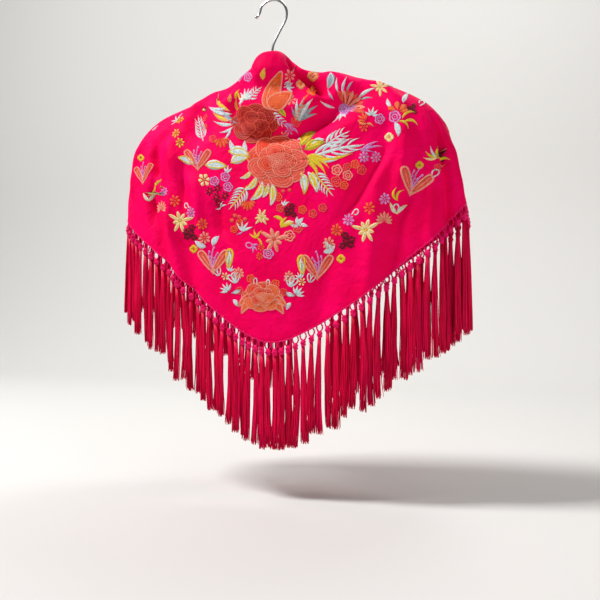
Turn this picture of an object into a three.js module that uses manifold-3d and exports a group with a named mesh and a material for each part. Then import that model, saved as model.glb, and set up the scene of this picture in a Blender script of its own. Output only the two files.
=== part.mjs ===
import * as THREE from "three";
import { mergeVertices } from "three/addons/utils/BufferGeometryUtils.js";
import Module from "manifold-3d";

// A flamenco shawl on a hanger: a triangle of crepe laid round the shoulders, its long edge
// turned in at the neck, with a knotted fringe along its two short edges. Millimetres, +Z up.
// The back of the shawl faces -Y, +X is to the right seen from the back, and the origin is the
// underside of the hook's crown, where the hanger hangs.

// The cloth and how it is cut into rows and columns. There is one column for each knot.
const WALL = 1.6;
const KNOTS = 100;
const ROWS_DOWN = 17;
const KNOT_SPACING_AT_POINT = 0.68; // share of the spacing elsewhere
const POINT_SPAN = 45; // reach of the closer knots, to each side of the back point

// The turned neck fold: its bend, and how deep the turned edge reaches inside.
const FOLD_RADIUS = 2.6;
const FOLD_STEPS = 3;
const TURNED_STEPS = 2;
const TURNED_DEPTH = 0.075; // as a share of the way down
const TURNED_HALF_WIDTH = 0.4; // in half turns from the back; past it the turn is narrow
const NARROW_TURN = 0.012;

// Sections of the cloth, from the neck fold to the hem. Each is a ring round the shoulders.
// down: 0 at the neck fold, 1 at the hem.
// left, right: x of its ends over the shoulders. middle: x of the back centre.
// back, front: y of the back and front centres.
// leftZ, rightZ, backZ, frontZ: heights at those places.
// square: 1 is an ellipse, less is squarer. fall: how late the ring drops from side to centre.
// open: half turns from the back centre to the front edge.
const SECTION_COLUMNS = [
  "down", "left", "right", "middle", "back", "front",
  "leftZ", "rightZ", "backZ", "frontZ", "square", "fall", "open",
];
const SECTIONS = [
  [0.0, -9, 38, 14, -36, 30, -94, -93, -76, -122, 0.95, 2.6, 0.68],
  [0.06, -16, 46, 12, -52, 40, -95, -97, -83, -130, 0.95, 2.4, 0.73],
  [0.12, -29, 58, 10, -61, 48, -99, -100, -103, -142, 0.94, 2.1, 0.78],
  [0.19, -54, 80, 9, -52, 53, -109, -104, -126, -160, 0.92, 1.9, 0.84],
  [0.27, -86, 113, 10, -59, 57, -122, -110, -154, -182, 0.9, 1.8, 0.885],
  [0.36, -124, 154, 13, -67, 60, -133, -124, -186, -210, 0.88, 1.6, 0.92],
  [0.46, -160, 193, 16, -73, 62, -147, -144, -224, -242, 0.86, 1.45, 0.945],
  [0.57, -188, 219, 19, -77, 64, -174, -169, -266, -274, 0.84, 1.3, 0.962],
  [0.7, -198, 232, 23, -79, 66, -208, -206, -316, -312, 0.82, 1.2, 0.97],
  [0.85, -203, 242, 28, -80, 67, -240, -244, -375, -354, 0.82, 1.15, 0.975],
  [1.0, -205, 249, 31, -81, 67, -272, -280, -434, -396, 0.82, 1.15, 0.98],
];
const POINT_ROUNDING = 0.1; // rounds each ring where it passes the back and front centres

// The largest folds, each a soft trough (deep below 0) or ridge along a line on the cloth.
// turn1, down1, turn2, down2: its ends, in half turns from the back centre and share down.
// width, deep: in mm.
const FOLD_COLUMNS = ["turn1", "down1", "turn2", "down2", "width", "deep"];
const FOLDS = [
  [-0.3, 0.42, -0.235, 0.66, 9, -5],
  [-0.27, 0.34, -0.17, 0.62, 13, 5],
  [-0.17, 0.5, -0.14, 0.72, 9, -4],
  [-0.13, 0.52, -0.11, 0.74, 9, 4],
  [-0.26, 0.7, -0.19, 1.0, 10, -5],
  [-0.2, 0.72, -0.15, 1.0, 12, 4.5],
  [-0.13, 0.78, -0.12, 1.0, 9, -4],
  [0.36, 0.42, 0.14, 0.72, 16, 5],
  [0.3, 0.46, 0.17, 0.66, 10, -4],
  [0.42, 0.3, 0.33, 0.5, 14, 6],
  [0.26, 0.74, 0.2, 1.0, 12, -6],
  [0.425, 0.5, 0.37, 1.0, 7, -9],
  [0.47, 0.6, 0.43, 1.0, 14, 5],
  [-0.36, 0.16, -0.22, 0.27, 10, -5],
  [-0.42, 0.2, -0.3, 0.36, 12, 5],
  [0.2, 0.12, 0.3, 0.3, 14, -6],
  [0.36, 0.18, 0.28, 0.34, 14, 5],
  [-0.66, 0.4, -0.6, 1.0, 16, 6],
  [-0.78, 0.5, -0.76, 1.0, 14, -6],
  [-0.9, 0.45, -0.88, 1.0, 14, 6],
  [0.64, 0.4, 0.6, 1.0, 16, 6],
  [0.77, 0.5, 0.74, 1.0, 14, -6],
  [0.9, 0.45, 0.87, 1.0, 14, 6],
];
const HALF_TURN_LENGTH = 500; // mm along the cloth for one half turn, to measure folds by
const DOWN_LENGTH = 370; // mm along the cloth from neck fold to hem

// How the hem leaves its plain ring. turn, width: where, in half turns. rise: mm at the hem.
const HEM_COLUMNS = ["turn", "width", "rise"];
const HEM_CHANGES = [
  [-0.2, 0.11, 9],
  [0.16, 0.1, -9],
  [0.3, 0.06, -5],
  [0.44, 0.04, 8],
];

// The fringe. Drops are measured down from the hem, widths from the middle of a knot.
const SEAM_GAP = 0.5;
const RAIL_DROP = 2.6;
const NOTCH_DROP = 6.2;
const HOLE_END_DROP = 10.4;
const KNOT_DROP = 13;
const KNOT_END_DROP = 17;
const KNOT_HALF_WIDTH = 3.2;
const KNOT_HALF_THICK = 3;
const STRAND_HALF_THICK = 0.8;
const LOCK_TOP_HALF_WIDTH = 2.2;
const LOCK_END_HALF_WIDTH = 2.9;
const LOCK_HALF_THICK = 1.7;
const LOCK_MIDDLE_DROP = 62;
const FRINGE_LENGTH = 125;
const FRINGE_EXTRA_AT_RIGHT = 15;
const RAGGED = 6;
const SWAY = 1.6;

// The hanger. The hook's arc is centred below its crown, and its tip turns out to a small ball.
const WIRE_RADIUS = 1.6;
const HOOK_RADIUS = 20;
const HOOK_ARC_START = 140; // degrees from +X
const HOOK_ARC_END = -30;
const HOOK_ARC_STEP = 17;
const HOOK_TIP = [[-22, -18], [-19, -15.5], [-16.8, -11]]; // x and z
const HOOK_STEM = [[8, -44], [1, -58], [0, -72], [0, -90]];
const TIP_RADIUS = 2.4;
const HUB_TOP = -100.5;
const STEM_DEPTH = 14;
const STEM_CLEARANCE = 0.3;
const ARM_SIDES = 10;
const ARM_SQUARENESS = 0.8;
// Stations of the arms. x, top: the upper line. tall, thick: the section's height and depth.
const ARM_COLUMNS = ["x", "top", "tall", "thick"];
const ARMS = [
  [-174, -165, 4, 5],
  [-171, -160, 10, 10],
  [-162, -151.6, 14, 12],
  [-150, -145.2, 16, 13],
  [-128, -136.9, 17, 14],
  [-98, -128.2, 19, 14],
  [-66, -116.6, 21, 14],
  [-38, -105.6, 24, 14],
  [-16, -101.3, 27, 14],
  [0, HUB_TOP, 29, 14],
  [20, -101, 28, 14],
  [42, -102, 25, 14],
  [60, -103.6, 23, 14],
  [82, -106.9, 20, 14],
  [112, -113, 18, 14],
  [128, -117.5, 17, 14],
  [150, -125.6, 16, 13],
  [162, -131.2, 14, 12],
  [171, -136.5, 10, 10],
  [174, -141, 4, 5],
];

// Reads a table's rows as objects with named fields.
function named(columns, rows) {
  return rows.map((row) => Object.fromEntries(columns.map((name, i) => [name, row[i]])));
}

const sections = named(SECTION_COLUMNS, SECTIONS);
const folds = named(FOLD_COLUMNS, FOLDS);
const hemChanges = named(HEM_COLUMNS, HEM_CHANGES);

// A smooth curve through the sections' values of one column.
function smoothColumn(name) {
  const x = sections.map((s) => s.down);
  const y = sections.map((s) => s[name]);
  const step = x.slice(1).map((v, i) => v - x[i]);
  const slope = step.map((h, i) => (y[i + 1] - y[i]) / h);
  const tangent = y.map((_, i) => {
    if (i === 0) return slope[0];
    if (i === y.length - 1) return slope[i - 1];
    return (slope[i - 1] * step[i] + slope[i] * step[i - 1]) / (step[i] + step[i - 1]);
  });
  return (down) => {
    let i = 0;
    while (i < step.length - 1 && down >= x[i + 1]) i += 1;
    const h = step[i];
    const t = (down - x[i]) / h;
    const near = (1 + 2 * t) * (1 - t) ** 2 * y[i] + t * (1 - t) ** 2 * h * tangent[i];
    const far = t * t * (3 - 2 * t) * y[i + 1] + t * t * (t - 1) * h * tangent[i + 1];
    return near + far;
  };
}

const columnAt = Object.fromEntries(SECTION_COLUMNS.map((name) => [name, smoothColumn(name)]));

// A point of the cloth's outer face without its folds.
function plainPoint(turn, down) {
  const at = (name) => columnAt[name](down);
  const sine = Math.sin(turn * Math.PI);
  const cosine = Math.cos(turn * Math.PI);
  const out = Math.abs(sine) ** at("square");
  const side = turn < 0 ? at("left") : at("right");
  const sideZ = turn < 0 ? at("leftZ") : at("rightZ");
  const centreZ = cosine > 0 ? at("backZ") : at("frontZ");
  const r = POINT_ROUNDING;
  const climb = (Math.hypot(out, r) - r) / (Math.hypot(1, r) - r);
  let rise = 0;
  for (const c of hemChanges) {
    rise += c.rise * Math.exp(-(((turn - c.turn) / c.width) ** 2)) * down ** 3;
  }
  return new THREE.Vector3(
    at("middle") + (side - at("middle")) * out,
    (cosine > 0 ? at("back") : at("front")) * Math.abs(cosine) ** at("square"),
    centreZ + (sideZ - centreZ) * climb ** at("fall") + rise,
  );
}

function smoothStep(t) {
  const c = Math.min(1, Math.max(0, t));
  return c * c * (3 - 2 * c);
}

// How far the folds move the cloth out at a place.
function foldDepth(turn, down) {
  let depth = 0;
  for (const f of folds) {
    const along = new THREE.Vector2((f.turn2 - f.turn1) * HALF_TURN_LENGTH,
      (f.down2 - f.down1) * DOWN_LENGTH);
    const length = along.length();
    along.normalize();
    const from = new THREE.Vector2((turn - f.turn1) * HALF_TURN_LENGTH,
      (down - f.down1) * DOWN_LENGTH);
    const way = from.dot(along);
    const across = from.cross(along) / f.width;
    const fadeIn = smoothStep(way / length / 0.35);
    const fadeOut = f.down2 >= 1 ? 1 : smoothStep((length - way) / length / 0.35);
    depth += f.deep * Math.exp(-across * across) * fadeIn * fadeOut;
  }
  return depth;
}

// The outward direction at a place, from its neighbours.
function outward(pointAt, turn, down) {
  const e = 0.004;
  const sideways = pointAt(turn + e, down).sub(pointAt(turn - e, down));
  const lower = pointAt(turn, Math.min(1, down + e)).sub(pointAt(turn, Math.max(0, down - e)));
  return lower.cross(sideways).normalize();
}

function clothPoint(turn, down) {
  const point = plainPoint(turn, down);
  return point.addScaledVector(outward(plainPoint, turn, down), foldDepth(turn, down));
}

// The columns' places: equal steps along the hem, closer together near the back point.
function columnShares() {
  const samples = 2000;
  const open = columnAt.open(1);
  const reached = [0];
  let last = clothPoint(-open, 1);
  for (let i = 1; i <= samples; i += 1) {
    const point = clothPoint(open * ((2 * i) / samples - 1), 1);
    const nearness = Math.exp(-(((point.x - columnAt.middle(1)) / POINT_SPAN) ** 2));
    const atBack = point.y < 0 ? nearness : 0;
    const spacing = 1 - (1 - KNOT_SPACING_AT_POINT) * atBack;
    reached.push(reached[i - 1] + point.distanceTo(last) / spacing);
    last = point;
  }
  const shares = [];
  let i = 0;
  for (let k = 0; k <= KNOTS; k += 1) {
    const wanted = (reached[samples] * k) / KNOTS;
    while (i < samples - 1 && reached[i + 1] < wanted) i += 1;
    const t = (wanted - reached[i]) / (reached[i + 1] - reached[i]);
    shares.push((2 * (i + t)) / samples - 1);
  }
  return shares;
}

const shares = columnShares();

// A solid from a list of points and triangles.
function solid(name, points, triangles, material) {
  const geometry = new THREE.BufferGeometry();
  geometry.setAttribute("position",
    new THREE.Float32BufferAttribute(points.flatMap((p) => [p.x, p.y, p.z]), 3));
  geometry.setIndex(triangles.flat());
  geometry.computeVertexNormals();
  const mesh = new THREE.Mesh(geometry, material);
  mesh.name = name;
  return mesh;
}

// One column of the cloth from its turned edge, over the neck fold and down to the hem: the
// outer points, and the direction that each one's wall lies away from.
function clothColumn(share) {
  const column = [];
  const turnAt = (down) => share * columnAt.open(down);
  const place = (down) => {
    const turn = turnAt(down);
    return { point: clothPoint(turn, down), out: outward(clothPoint, turn, down) };
  };
  const turned = TURNED_DEPTH
    * (1 - smoothStep((Math.abs(turnAt(0)) - TURNED_HALF_WIDTH) / 0.1 + 1));
  const depth = Math.max(NARROW_TURN, turned);
  for (let i = 0; i < TURNED_STEPS; i += 1) {
    const { point, out } = place(depth * (1 - i / TURNED_STEPS));
    column.push({ point: point.addScaledVector(out, -2 * FOLD_RADIUS), out: out.negate() });
  }
  const top = place(0);
  const up = top.point.clone().sub(place(0.01).point);
  up.addScaledVector(top.out, -up.dot(top.out)).normalize();
  const centre = top.point.clone().addScaledVector(top.out, -FOLD_RADIUS);
  for (let i = 0; i < FOLD_STEPS; i += 1) {
    const angle = Math.PI * (1 - i / FOLD_STEPS);
    const out = top.out.clone().multiplyScalar(Math.cos(angle))
      .addScaledVector(up, Math.sin(angle));
    column.push({ point: centre.clone().addScaledVector(out, FOLD_RADIUS), out });
  }
  for (let i = 0; i <= ROWS_DOWN; i += 1) column.push(place(i / ROWS_DOWN));
  return column;
}

function buildCloth(material) {
  const columns = shares.map(clothColumn);
  const rows = columns[0].length;
  const points = [];
  for (const column of columns) for (const { point } of column) points.push(point);
  for (const column of columns) {
    for (const { point, out } of column) points.push(point.clone().addScaledVector(out, -WALL));
  }
  const inner = columns.length * rows;
  const triangles = [];
  const quad = (a, b, c, d) => triangles.push([a, b, c], [a, c, d]);
  for (let j = 0; j < KNOTS; j += 1) {
    for (let i = 0; i < rows - 1; i += 1) {
      const a = j * rows + i;
      quad(a, a + 1, a + rows + 1, a + rows);
      quad(inner + a, inner + a + rows, inner + a + rows + 1, inner + a + 1);
    }
    const top = j * rows;
    quad(top, top + rows, inner + top + rows, inner + top);
    const hem = top + rows - 1;
    quad(hem, inner + hem, inner + hem + rows, hem + rows);
  }
  for (let i = 0; i < rows - 1; i += 1) {
    quad(i, inner + i, inner + i + 1, i + 1);
    const a = KNOTS * rows + i;
    quad(a, a + 1, inner + a + 1, inner + a);
  }
  return solid("shawl_cloth", points, triangles, material);
}

// A number between -1 and 1 that looks random but is the same each time.
function scatter(index, seed) {
  const wave = Math.sin(index * 12.9898 + seed * 78.233) * 43758.5453;
  return 2 * (wave - Math.floor(wave)) - 1;
}

// The middle of the wall along the hem, one point for each column.
const hemLine = shares.map((share) => {
  const turn = share * columnAt.open(1);
  return clothPoint(turn, 1).addScaledVector(outward(clothPoint, turn, 1), -WALL / 2);
});

// One short edge's fringe: a rail under the hem, and below it for each knot two strands round
// a hole, the knot and its hanging lock. The points lie on a curtain under the hem, and each
// stands for a pair, in front of the curtain and behind it.
function buildFringe(name, first, last, material) {
  const points = [];
  const faces = [];
  const add = (hem, away, aside, drop, thick, reach = 0) => {
    const point = hem.clone();
    point.x += away.y * -aside + away.x * reach;
    point.y += away.x * aside + away.y * reach;
    point.z -= drop;
    points.push(point.clone().addScaledVector(away, thick),
      point.clone().addScaledVector(away, -thick));
    return points.length - 2;
  };
  const awayAt = (k) => {
    const along = hemLine[Math.min(KNOTS, k + 1)].clone().sub(hemLine[Math.max(0, k - 1)]);
    return new THREE.Vector3(along.y, -along.x, 0).normalize();
  };
  const tops = [];
  const notches = [];
  for (let k = first; k <= last; k += 1) {
    const inset = k === first ? SEAM_GAP / 2 : k === last ? -SEAM_GAP / 2 : 0;
    tops.push(add(hemLine[k], awayAt(k), inset, SEAM_GAP, STRAND_HALF_THICK));
    notches.push(add(hemLine[k], awayAt(k), inset, NOTCH_DROP, STRAND_HALF_THICK));
  }
  for (let k = first; k < last; k += 1) {
    const i = k - first;
    const from = hemLine[k];
    const to = hemLine[k + 1];
    const middle = from.clone().lerp(to, 0.5);
    const away = new THREE.Vector3(to.y - from.y, from.x - to.x, 0).normalize();
    const room = Math.min(1, Math.hypot(to.x - from.x, to.y - from.y) / 8);
    const slim = STRAND_HALF_THICK;
    const holeLeft = add(from.clone().lerp(to, 0.17), away, 0, RAIL_DROP, slim);
    const holeRight = add(from.clone().lerp(to, 0.83), away, 0, RAIL_DROP, slim);
    const holeEnd = add(middle, away, 0, HOLE_END_DROP, slim);
    const knotWide = KNOT_HALF_WIDTH * room;
    const knotLeft = add(middle, away, -knotWide, KNOT_DROP, KNOT_HALF_THICK * 0.9);
    const knotRight = add(middle, away, knotWide, KNOT_DROP, KNOT_HALF_THICK * 0.9);
    const topWide = LOCK_TOP_HALF_WIDTH * room;
    const knotEndLeft = add(middle, away, -topWide, KNOT_END_DROP, KNOT_HALF_THICK * 0.7);
    const knotEndRight = add(middle, away, topWide, KNOT_END_DROP, KNOT_HALF_THICK * 0.7);
    const sway = SWAY * scatter(k, 1) * room;
    const reach = 2 * SWAY * scatter(k, 2);
    const endWide = LOCK_END_HALF_WIDTH * room;
    const rightShare = smoothStep((middle.x - 170) / 60);
    const length = FRINGE_LENGTH + FRINGE_EXTRA_AT_RIGHT * rightShare + RAGGED * scatter(k, 3);
    const half = LOCK_HALF_THICK;
    const midLeft = add(middle, away, sway / 2 - endWide, LOCK_MIDDLE_DROP, half, reach / 2);
    const midRight = add(middle, away, sway / 2 + endWide, LOCK_MIDDLE_DROP, half, reach / 2);
    const endLeft = add(middle, away, sway - endWide, length, half, reach);
    const endRight = add(middle, away, sway + endWide, length + 2 * scatter(k, 4), half, reach);
    faces.push(
      [tops[i], holeLeft, holeRight, tops[i + 1]],
      [tops[i], notches[i], holeLeft],
      [holeLeft, notches[i], knotLeft, holeEnd],
      [tops[i + 1], holeRight, notches[i + 1]],
      [holeRight, holeEnd, knotRight, notches[i + 1]],
      [holeEnd, knotLeft, knotEndLeft, knotEndRight, knotRight],
      [knotEndLeft, midLeft, midRight, knotEndRight],
      [midLeft, endLeft, endRight, midRight],
    );
  }
  const triangles = [];
  const edges = new Map();
  for (const face of faces) {
    for (let i = 1; i < face.length - 1; i += 1) {
      triangles.push([face[0], face[i], face[i + 1]]);
      triangles.push([face[0] + 1, face[i + 1] + 1, face[i] + 1]);
    }
    face.forEach((a, i) => {
      const b = face[(i + 1) % face.length];
      if (edges.has(`${b} ${a}`)) edges.delete(`${b} ${a}`);
      else edges.set(`${a} ${b}`, [a, b]);
    });
  }
  for (const [a, b] of edges.values()) triangles.push([b, a, a + 1], [b, a + 1, b + 1]);
  return solid(name, points, triangles, material);
}

const wasm = await Module();
wasm.setup();

// A closed geometry as a solid that can be joined and cut.
function toManifold(geometry) {
  const plain = geometry.clone();
  plain.deleteAttribute("normal");
  plain.deleteAttribute("uv");
  const merged = mergeVertices(plain, 1e-4);
  return new wasm.Manifold(new wasm.Mesh({
    numProp: 3,
    vertProperties: merged.attributes.position.array,
    triVerts: new Uint32Array(merged.index.array),
  }));
}

function meshOf(name, manifold, material) {
  const { vertProperties, triVerts } = manifold.getMesh();
  const geometry = new THREE.BufferGeometry();
  geometry.setAttribute("position", new THREE.BufferAttribute(vertProperties, 3));
  geometry.setIndex(new THREE.BufferAttribute(triVerts, 1));
  geometry.computeVertexNormals();
  const mesh = new THREE.Mesh(geometry, material);
  mesh.name = name;
  return mesh;
}

// The hook: a ball at its tip, an arc over the rail, and a stem that bends back under the arc
// and goes down into the arms.
function buildHook(material) {
  const centreZ = WIRE_RADIUS - HOOK_RADIUS;
  const inPlane = ([x, z]) => new THREE.Vector3(x, 0, z);
  const path = HOOK_TIP.map(inPlane);
  for (let angle = HOOK_ARC_START; angle >= HOOK_ARC_END; angle -= HOOK_ARC_STEP) {
    const a = THREE.MathUtils.degToRad(angle);
    path.push(inPlane([HOOK_RADIUS * Math.cos(a), centreZ + HOOK_RADIUS * Math.sin(a)]));
  }
  path.push(...HOOK_STEM.map(inPlane), inPlane([0, HUB_TOP - STEM_DEPTH]));
  const section = new THREE.Shape();
  section.absarc(0, 0, WIRE_RADIUS, 0, 2 * Math.PI, false);
  const wire = new THREE.ExtrudeGeometry(section, {
    extrudePath: new THREE.CatmullRomCurve3(path, false, "centripetal"),
    steps: 52,
    curveSegments: 4,
    bevelEnabled: false,
  });
  const ball = new THREE.SphereGeometry(TIP_RADIUS, 8, 6)
    .translate(HOOK_TIP[0][0], 0, HOOK_TIP[0][1]);
  return meshOf("hanger_hook", toManifold(wire).add(toManifold(ball)), material);
}

// The arms: one shaped bar with rounded sections, and a hole for the stem.
function buildArms(material) {
  const stations = named(ARM_COLUMNS, ARMS);
  const points = [];
  const triangles = [];
  for (const { x, top, tall, thick } of stations) {
    for (let i = 0; i < ARM_SIDES; i += 1) {
      const angle = (2 * Math.PI * i) / ARM_SIDES;
      const bend = (value) => Math.sign(value) * Math.abs(value) ** ARM_SQUARENESS;
      points.push(new THREE.Vector3(x, bend(Math.sin(angle)) * thick / 2,
        top - tall / 2 + bend(Math.cos(angle)) * tall / 2));
    }
  }
  for (let s = 0; s < stations.length - 1; s += 1) {
    for (let i = 0; i < ARM_SIDES; i += 1) {
      const a = s * ARM_SIDES + i;
      const b = s * ARM_SIDES + ((i + 1) % ARM_SIDES);
      triangles.push([a, b + ARM_SIDES, b], [a, a + ARM_SIDES, b + ARM_SIDES]);
    }
  }
  const lastRing = (stations.length - 1) * ARM_SIDES;
  for (let i = 1; i < ARM_SIDES - 1; i += 1) {
    triangles.push([0, i, i + 1], [lastRing, lastRing + i + 1, lastRing + i]);
  }
  const bar = solid("bar", points, triangles, material).geometry;
  const depth = STEM_DEPTH + STEM_CLEARANCE;
  const radius = WIRE_RADIUS + STEM_CLEARANCE;
  const hole = new THREE.CylinderGeometry(radius, radius, 2 * depth, 12)
    .rotateX(Math.PI / 2)
    .translate(0, 0, HUB_TOP);
  return meshOf("hanger_arms", toManifold(bar).subtract(toManifold(hole)), material);
}

const cloth = new THREE.MeshStandardMaterial({ color: 0xe8004e, roughness: 0.6, metalness: 0 });
const thread = new THREE.MeshStandardMaterial({ color: 0xc0002f, roughness: 0.5, metalness: 0 });
const steel = new THREE.MeshStandardMaterial({ color: 0xc8c8cc, roughness: 0.2, metalness: 1 });
const wood = new THREE.MeshStandardMaterial({ color: 0xb98d5c, roughness: 0.5, metalness: 0 });

const shawl = new THREE.Group();
const middleKnot = KNOTS / 2;
shawl.add(
  buildCloth(cloth),
  buildFringe("fringe_left", 0, middleKnot, thread),
  buildFringe("fringe_right", middleKnot, KNOTS, thread),
  buildHook(steel),
  buildArms(wood),
);

export default shawl;
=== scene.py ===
"""A fringed and embroidered flamenco shawl on a hanger, seen from its back.

The shawl is one triangle of fuchsia crepe. Its long edge is turned in at the neck, its point
hangs down the back, and its two short edges carry a knotted silk fringe. Metres, +Z up.
"""
import math

import bpy
import numpy as np
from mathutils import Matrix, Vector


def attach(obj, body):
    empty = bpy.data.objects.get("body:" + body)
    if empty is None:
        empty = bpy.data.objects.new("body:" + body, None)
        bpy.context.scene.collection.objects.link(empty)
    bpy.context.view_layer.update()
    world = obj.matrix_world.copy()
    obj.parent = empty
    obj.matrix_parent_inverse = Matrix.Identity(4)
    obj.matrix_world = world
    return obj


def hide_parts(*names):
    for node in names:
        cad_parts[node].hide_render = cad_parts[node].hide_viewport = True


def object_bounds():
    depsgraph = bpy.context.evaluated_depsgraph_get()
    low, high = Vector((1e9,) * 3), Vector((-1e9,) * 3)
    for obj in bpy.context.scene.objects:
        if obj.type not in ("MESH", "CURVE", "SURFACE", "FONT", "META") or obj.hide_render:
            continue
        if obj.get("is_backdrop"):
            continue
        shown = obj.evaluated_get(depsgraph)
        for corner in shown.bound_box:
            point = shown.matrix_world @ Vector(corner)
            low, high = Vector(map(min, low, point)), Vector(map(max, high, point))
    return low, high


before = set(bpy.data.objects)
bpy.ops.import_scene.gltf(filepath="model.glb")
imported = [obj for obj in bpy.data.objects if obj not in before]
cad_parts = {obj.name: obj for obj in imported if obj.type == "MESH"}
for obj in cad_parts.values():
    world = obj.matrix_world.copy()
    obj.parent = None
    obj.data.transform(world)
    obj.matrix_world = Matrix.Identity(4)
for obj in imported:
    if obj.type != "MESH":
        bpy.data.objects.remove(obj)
cad_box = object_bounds()

# The hanger. A shaped bar of varnished beech carries the shoulders, and a plated wire hook
# screws into its top. Both are the frame's own solids, given their finish here.
BEECH_LIGHT = (0.56, 0.33, 0.15, 1)
BEECH_DARK = (0.33, 0.17, 0.07, 1)
BEECH_GRAIN = (18, 160, 160)  # steps in a metre along the bar, through it and up it
# Painted reflection: the plated wire's colour is darkened and mottled between these tones for the dark
# room it mirrors.
WIRE_LIGHT = (0.45, 0.45, 0.47, 1)
WIRE_DARK = (0.2, 0.2, 0.21, 1)


def new_finish(name, **values):
    """A new material with its tree and its surface shader. Each value goes to the shader's
    socket of that name, where an underscore stands for a space."""
    finish = bpy.data.materials.new(name)
    finish.use_nodes = True
    tree = finish.node_tree
    shader = tree.nodes["Principled BSDF"]
    for socket, value in values.items():
        shader.inputs[socket.replace("_", " ")].default_value = value
    return finish, tree, shader


def add_node(tree, kind, **settings):
    """One node of a kind, with its settings or input values by name."""
    node = tree.nodes.new("ShaderNode" + kind)
    for key, value in settings.items():
        if key in node.inputs:
            node.inputs[key].default_value = value
        else:
            setattr(node, key, value)
    return node


def texture(tree, kind, stretch=None, **settings):
    """The factor of a texture on the object's own coordinates, each multiplied by its share of
    stretch where that is given."""
    node = add_node(tree, kind, **settings)
    spot = add_node(tree, "TexCoord").outputs["Object"]
    if stretch:
        scaled = add_node(tree, "Mapping", Scale=stretch)
        tree.links.new(spot, scaled.inputs["Vector"])
        spot = scaled.outputs["Vector"]
    tree.links.new(spot, node.inputs["Vector"])
    return node.outputs["Fac"]


def bump_from(tree, shader, height, distance):
    """Joins a height output to the shader as a bump of that distance in metres."""
    bump = add_node(tree, "Bump", Distance=distance)
    tree.links.new(height, bump.inputs["Height"])
    tree.links.new(bump.outputs["Normal"], shader.inputs["Normal"])


def two_tones(tree, factor, low, high, target, stops=(0.3, 0.7)):
    """A ramp from one colour to another by a factor output, joined to the target socket."""
    ramp = add_node(tree, "ValToRGB")
    for element, position, colour in zip(ramp.color_ramp.elements, stops, (low, high)):
        element.position, element.color = position, colour
    tree.links.new(factor, ramp.inputs["Fac"])
    tree.links.new(ramp.outputs["Color"], target)


beech, tree, shader = new_finish("varnished_beech", Roughness=0.35, Coat_Weight=0.3)
grain = texture(tree, "TexNoise", BEECH_GRAIN, Scale=1.0, Detail=6.0, Roughness=0.6)
two_tones(tree, grain, BEECH_DARK, BEECH_LIGHT, shader.inputs["Base Color"])
bump_from(tree, shader, grain, 0.0002)

wire, tree, shader = new_finish("plated_wire", Metallic=1.0, Roughness=0.28)
# Painted reflection: a noise mottle of dark and light grey stands for what the plated wire mirrors.
painted_reflection = texture(tree, "TexNoise", Scale=240.0, Detail=4.0)
two_tones(tree, painted_reflection, WIRE_DARK, WIRE_LIGHT, shader.inputs["Base Color"], (0.25, 0.55))
bump_from(tree, shader, painted_reflection, 0.00005)

for node, finish in (("hanger_arms", beech), ("hanger_hook", wire)):
    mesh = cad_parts[node].data
    mesh.materials.clear()
    mesh.materials.append(finish)

# The cloth. One triangle of crepe laid round the shoulders and turned in at the neck, hollow
# and open below, on the frame's own form, with the soft creases of hanging cloth. Sizes in mm.
SECTION_NAMES = ("down", "left", "right", "middle", "back", "front",
                 "leftZ", "rightZ", "backZ", "frontZ", "square", "fall", "open")
SECTIONS = np.array([
    [0.0, -9, 38, 14, -36, 30, -94, -93, -76, -122, 0.95, 2.6, 0.68],
    [0.06, -16, 46, 12, -52, 40, -95, -97, -83, -130, 0.95, 2.4, 0.73],
    [0.12, -29, 58, 10, -61, 48, -99, -100, -103, -142, 0.94, 2.1, 0.78],
    [0.19, -54, 80, 9, -52, 53, -109, -104, -126, -160, 0.92, 1.9, 0.84],
    [0.27, -86, 113, 10, -59, 57, -122, -110, -154, -182, 0.9, 1.8, 0.885],
    [0.36, -124, 154, 13, -67, 60, -133, -124, -186, -210, 0.88, 1.6, 0.92],
    [0.46, -160, 193, 16, -73, 62, -147, -144, -224, -242, 0.86, 1.45, 0.945],
    [0.57, -188, 219, 19, -77, 64, -174, -169, -266, -274, 0.84, 1.3, 0.962],
    [0.7, -198, 232, 23, -79, 66, -208, -206, -316, -312, 0.82, 1.2, 0.97],
    [0.85, -203, 242, 28, -80, 67, -240, -244, -375, -354, 0.82, 1.15, 0.975],
    [1.0, -205, 249, 31, -81, 67, -272, -280, -434, -396, 0.82, 1.15, 0.98],
])
POINT_ROUNDING = 0.1
# Folds: two ends (half turns from the back centre, share down), width and depth in mm.
MAIN_FOLDS = np.array([
    [-0.3, 0.42, -0.235, 0.66, 9, -5], [-0.27, 0.34, -0.17, 0.62, 13, 5],
    [-0.17, 0.5, -0.14, 0.72, 9, -4], [-0.13, 0.52, -0.11, 0.74, 9, 4],
    [-0.26, 0.7, -0.19, 1.0, 10, -5], [-0.2, 0.72, -0.15, 1.0, 12, 4.5],
    [-0.13, 0.78, -0.12, 1.0, 9, -4], [0.36, 0.42, 0.14, 0.72, 16, 5],
    [0.3, 0.46, 0.17, 0.66, 10, -4], [0.42, 0.3, 0.33, 0.5, 14, 6],
    [0.26, 0.74, 0.2, 1.0, 12, -6], [0.425, 0.5, 0.37, 1.0, 7, -9],
    [0.47, 0.6, 0.43, 1.0, 14, 5], [-0.36, 0.16, -0.22, 0.27, 10, -5],
    [-0.42, 0.2, -0.3, 0.36, 12, 5], [0.2, 0.12, 0.3, 0.3, 14, -6],
    [0.36, 0.18, 0.28, 0.34, 14, 5], [-0.66, 0.4, -0.6, 1.0, 16, 6],
    [-0.78, 0.5, -0.76, 1.0, 14, -6], [-0.9, 0.45, -0.88, 1.0, 14, 6],
    [0.64, 0.4, 0.6, 1.0, 16, 6], [0.77, 0.5, 0.74, 1.0, 14, -6],
    [0.9, 0.45, 0.87, 1.0, 14, 6],
])
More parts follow.
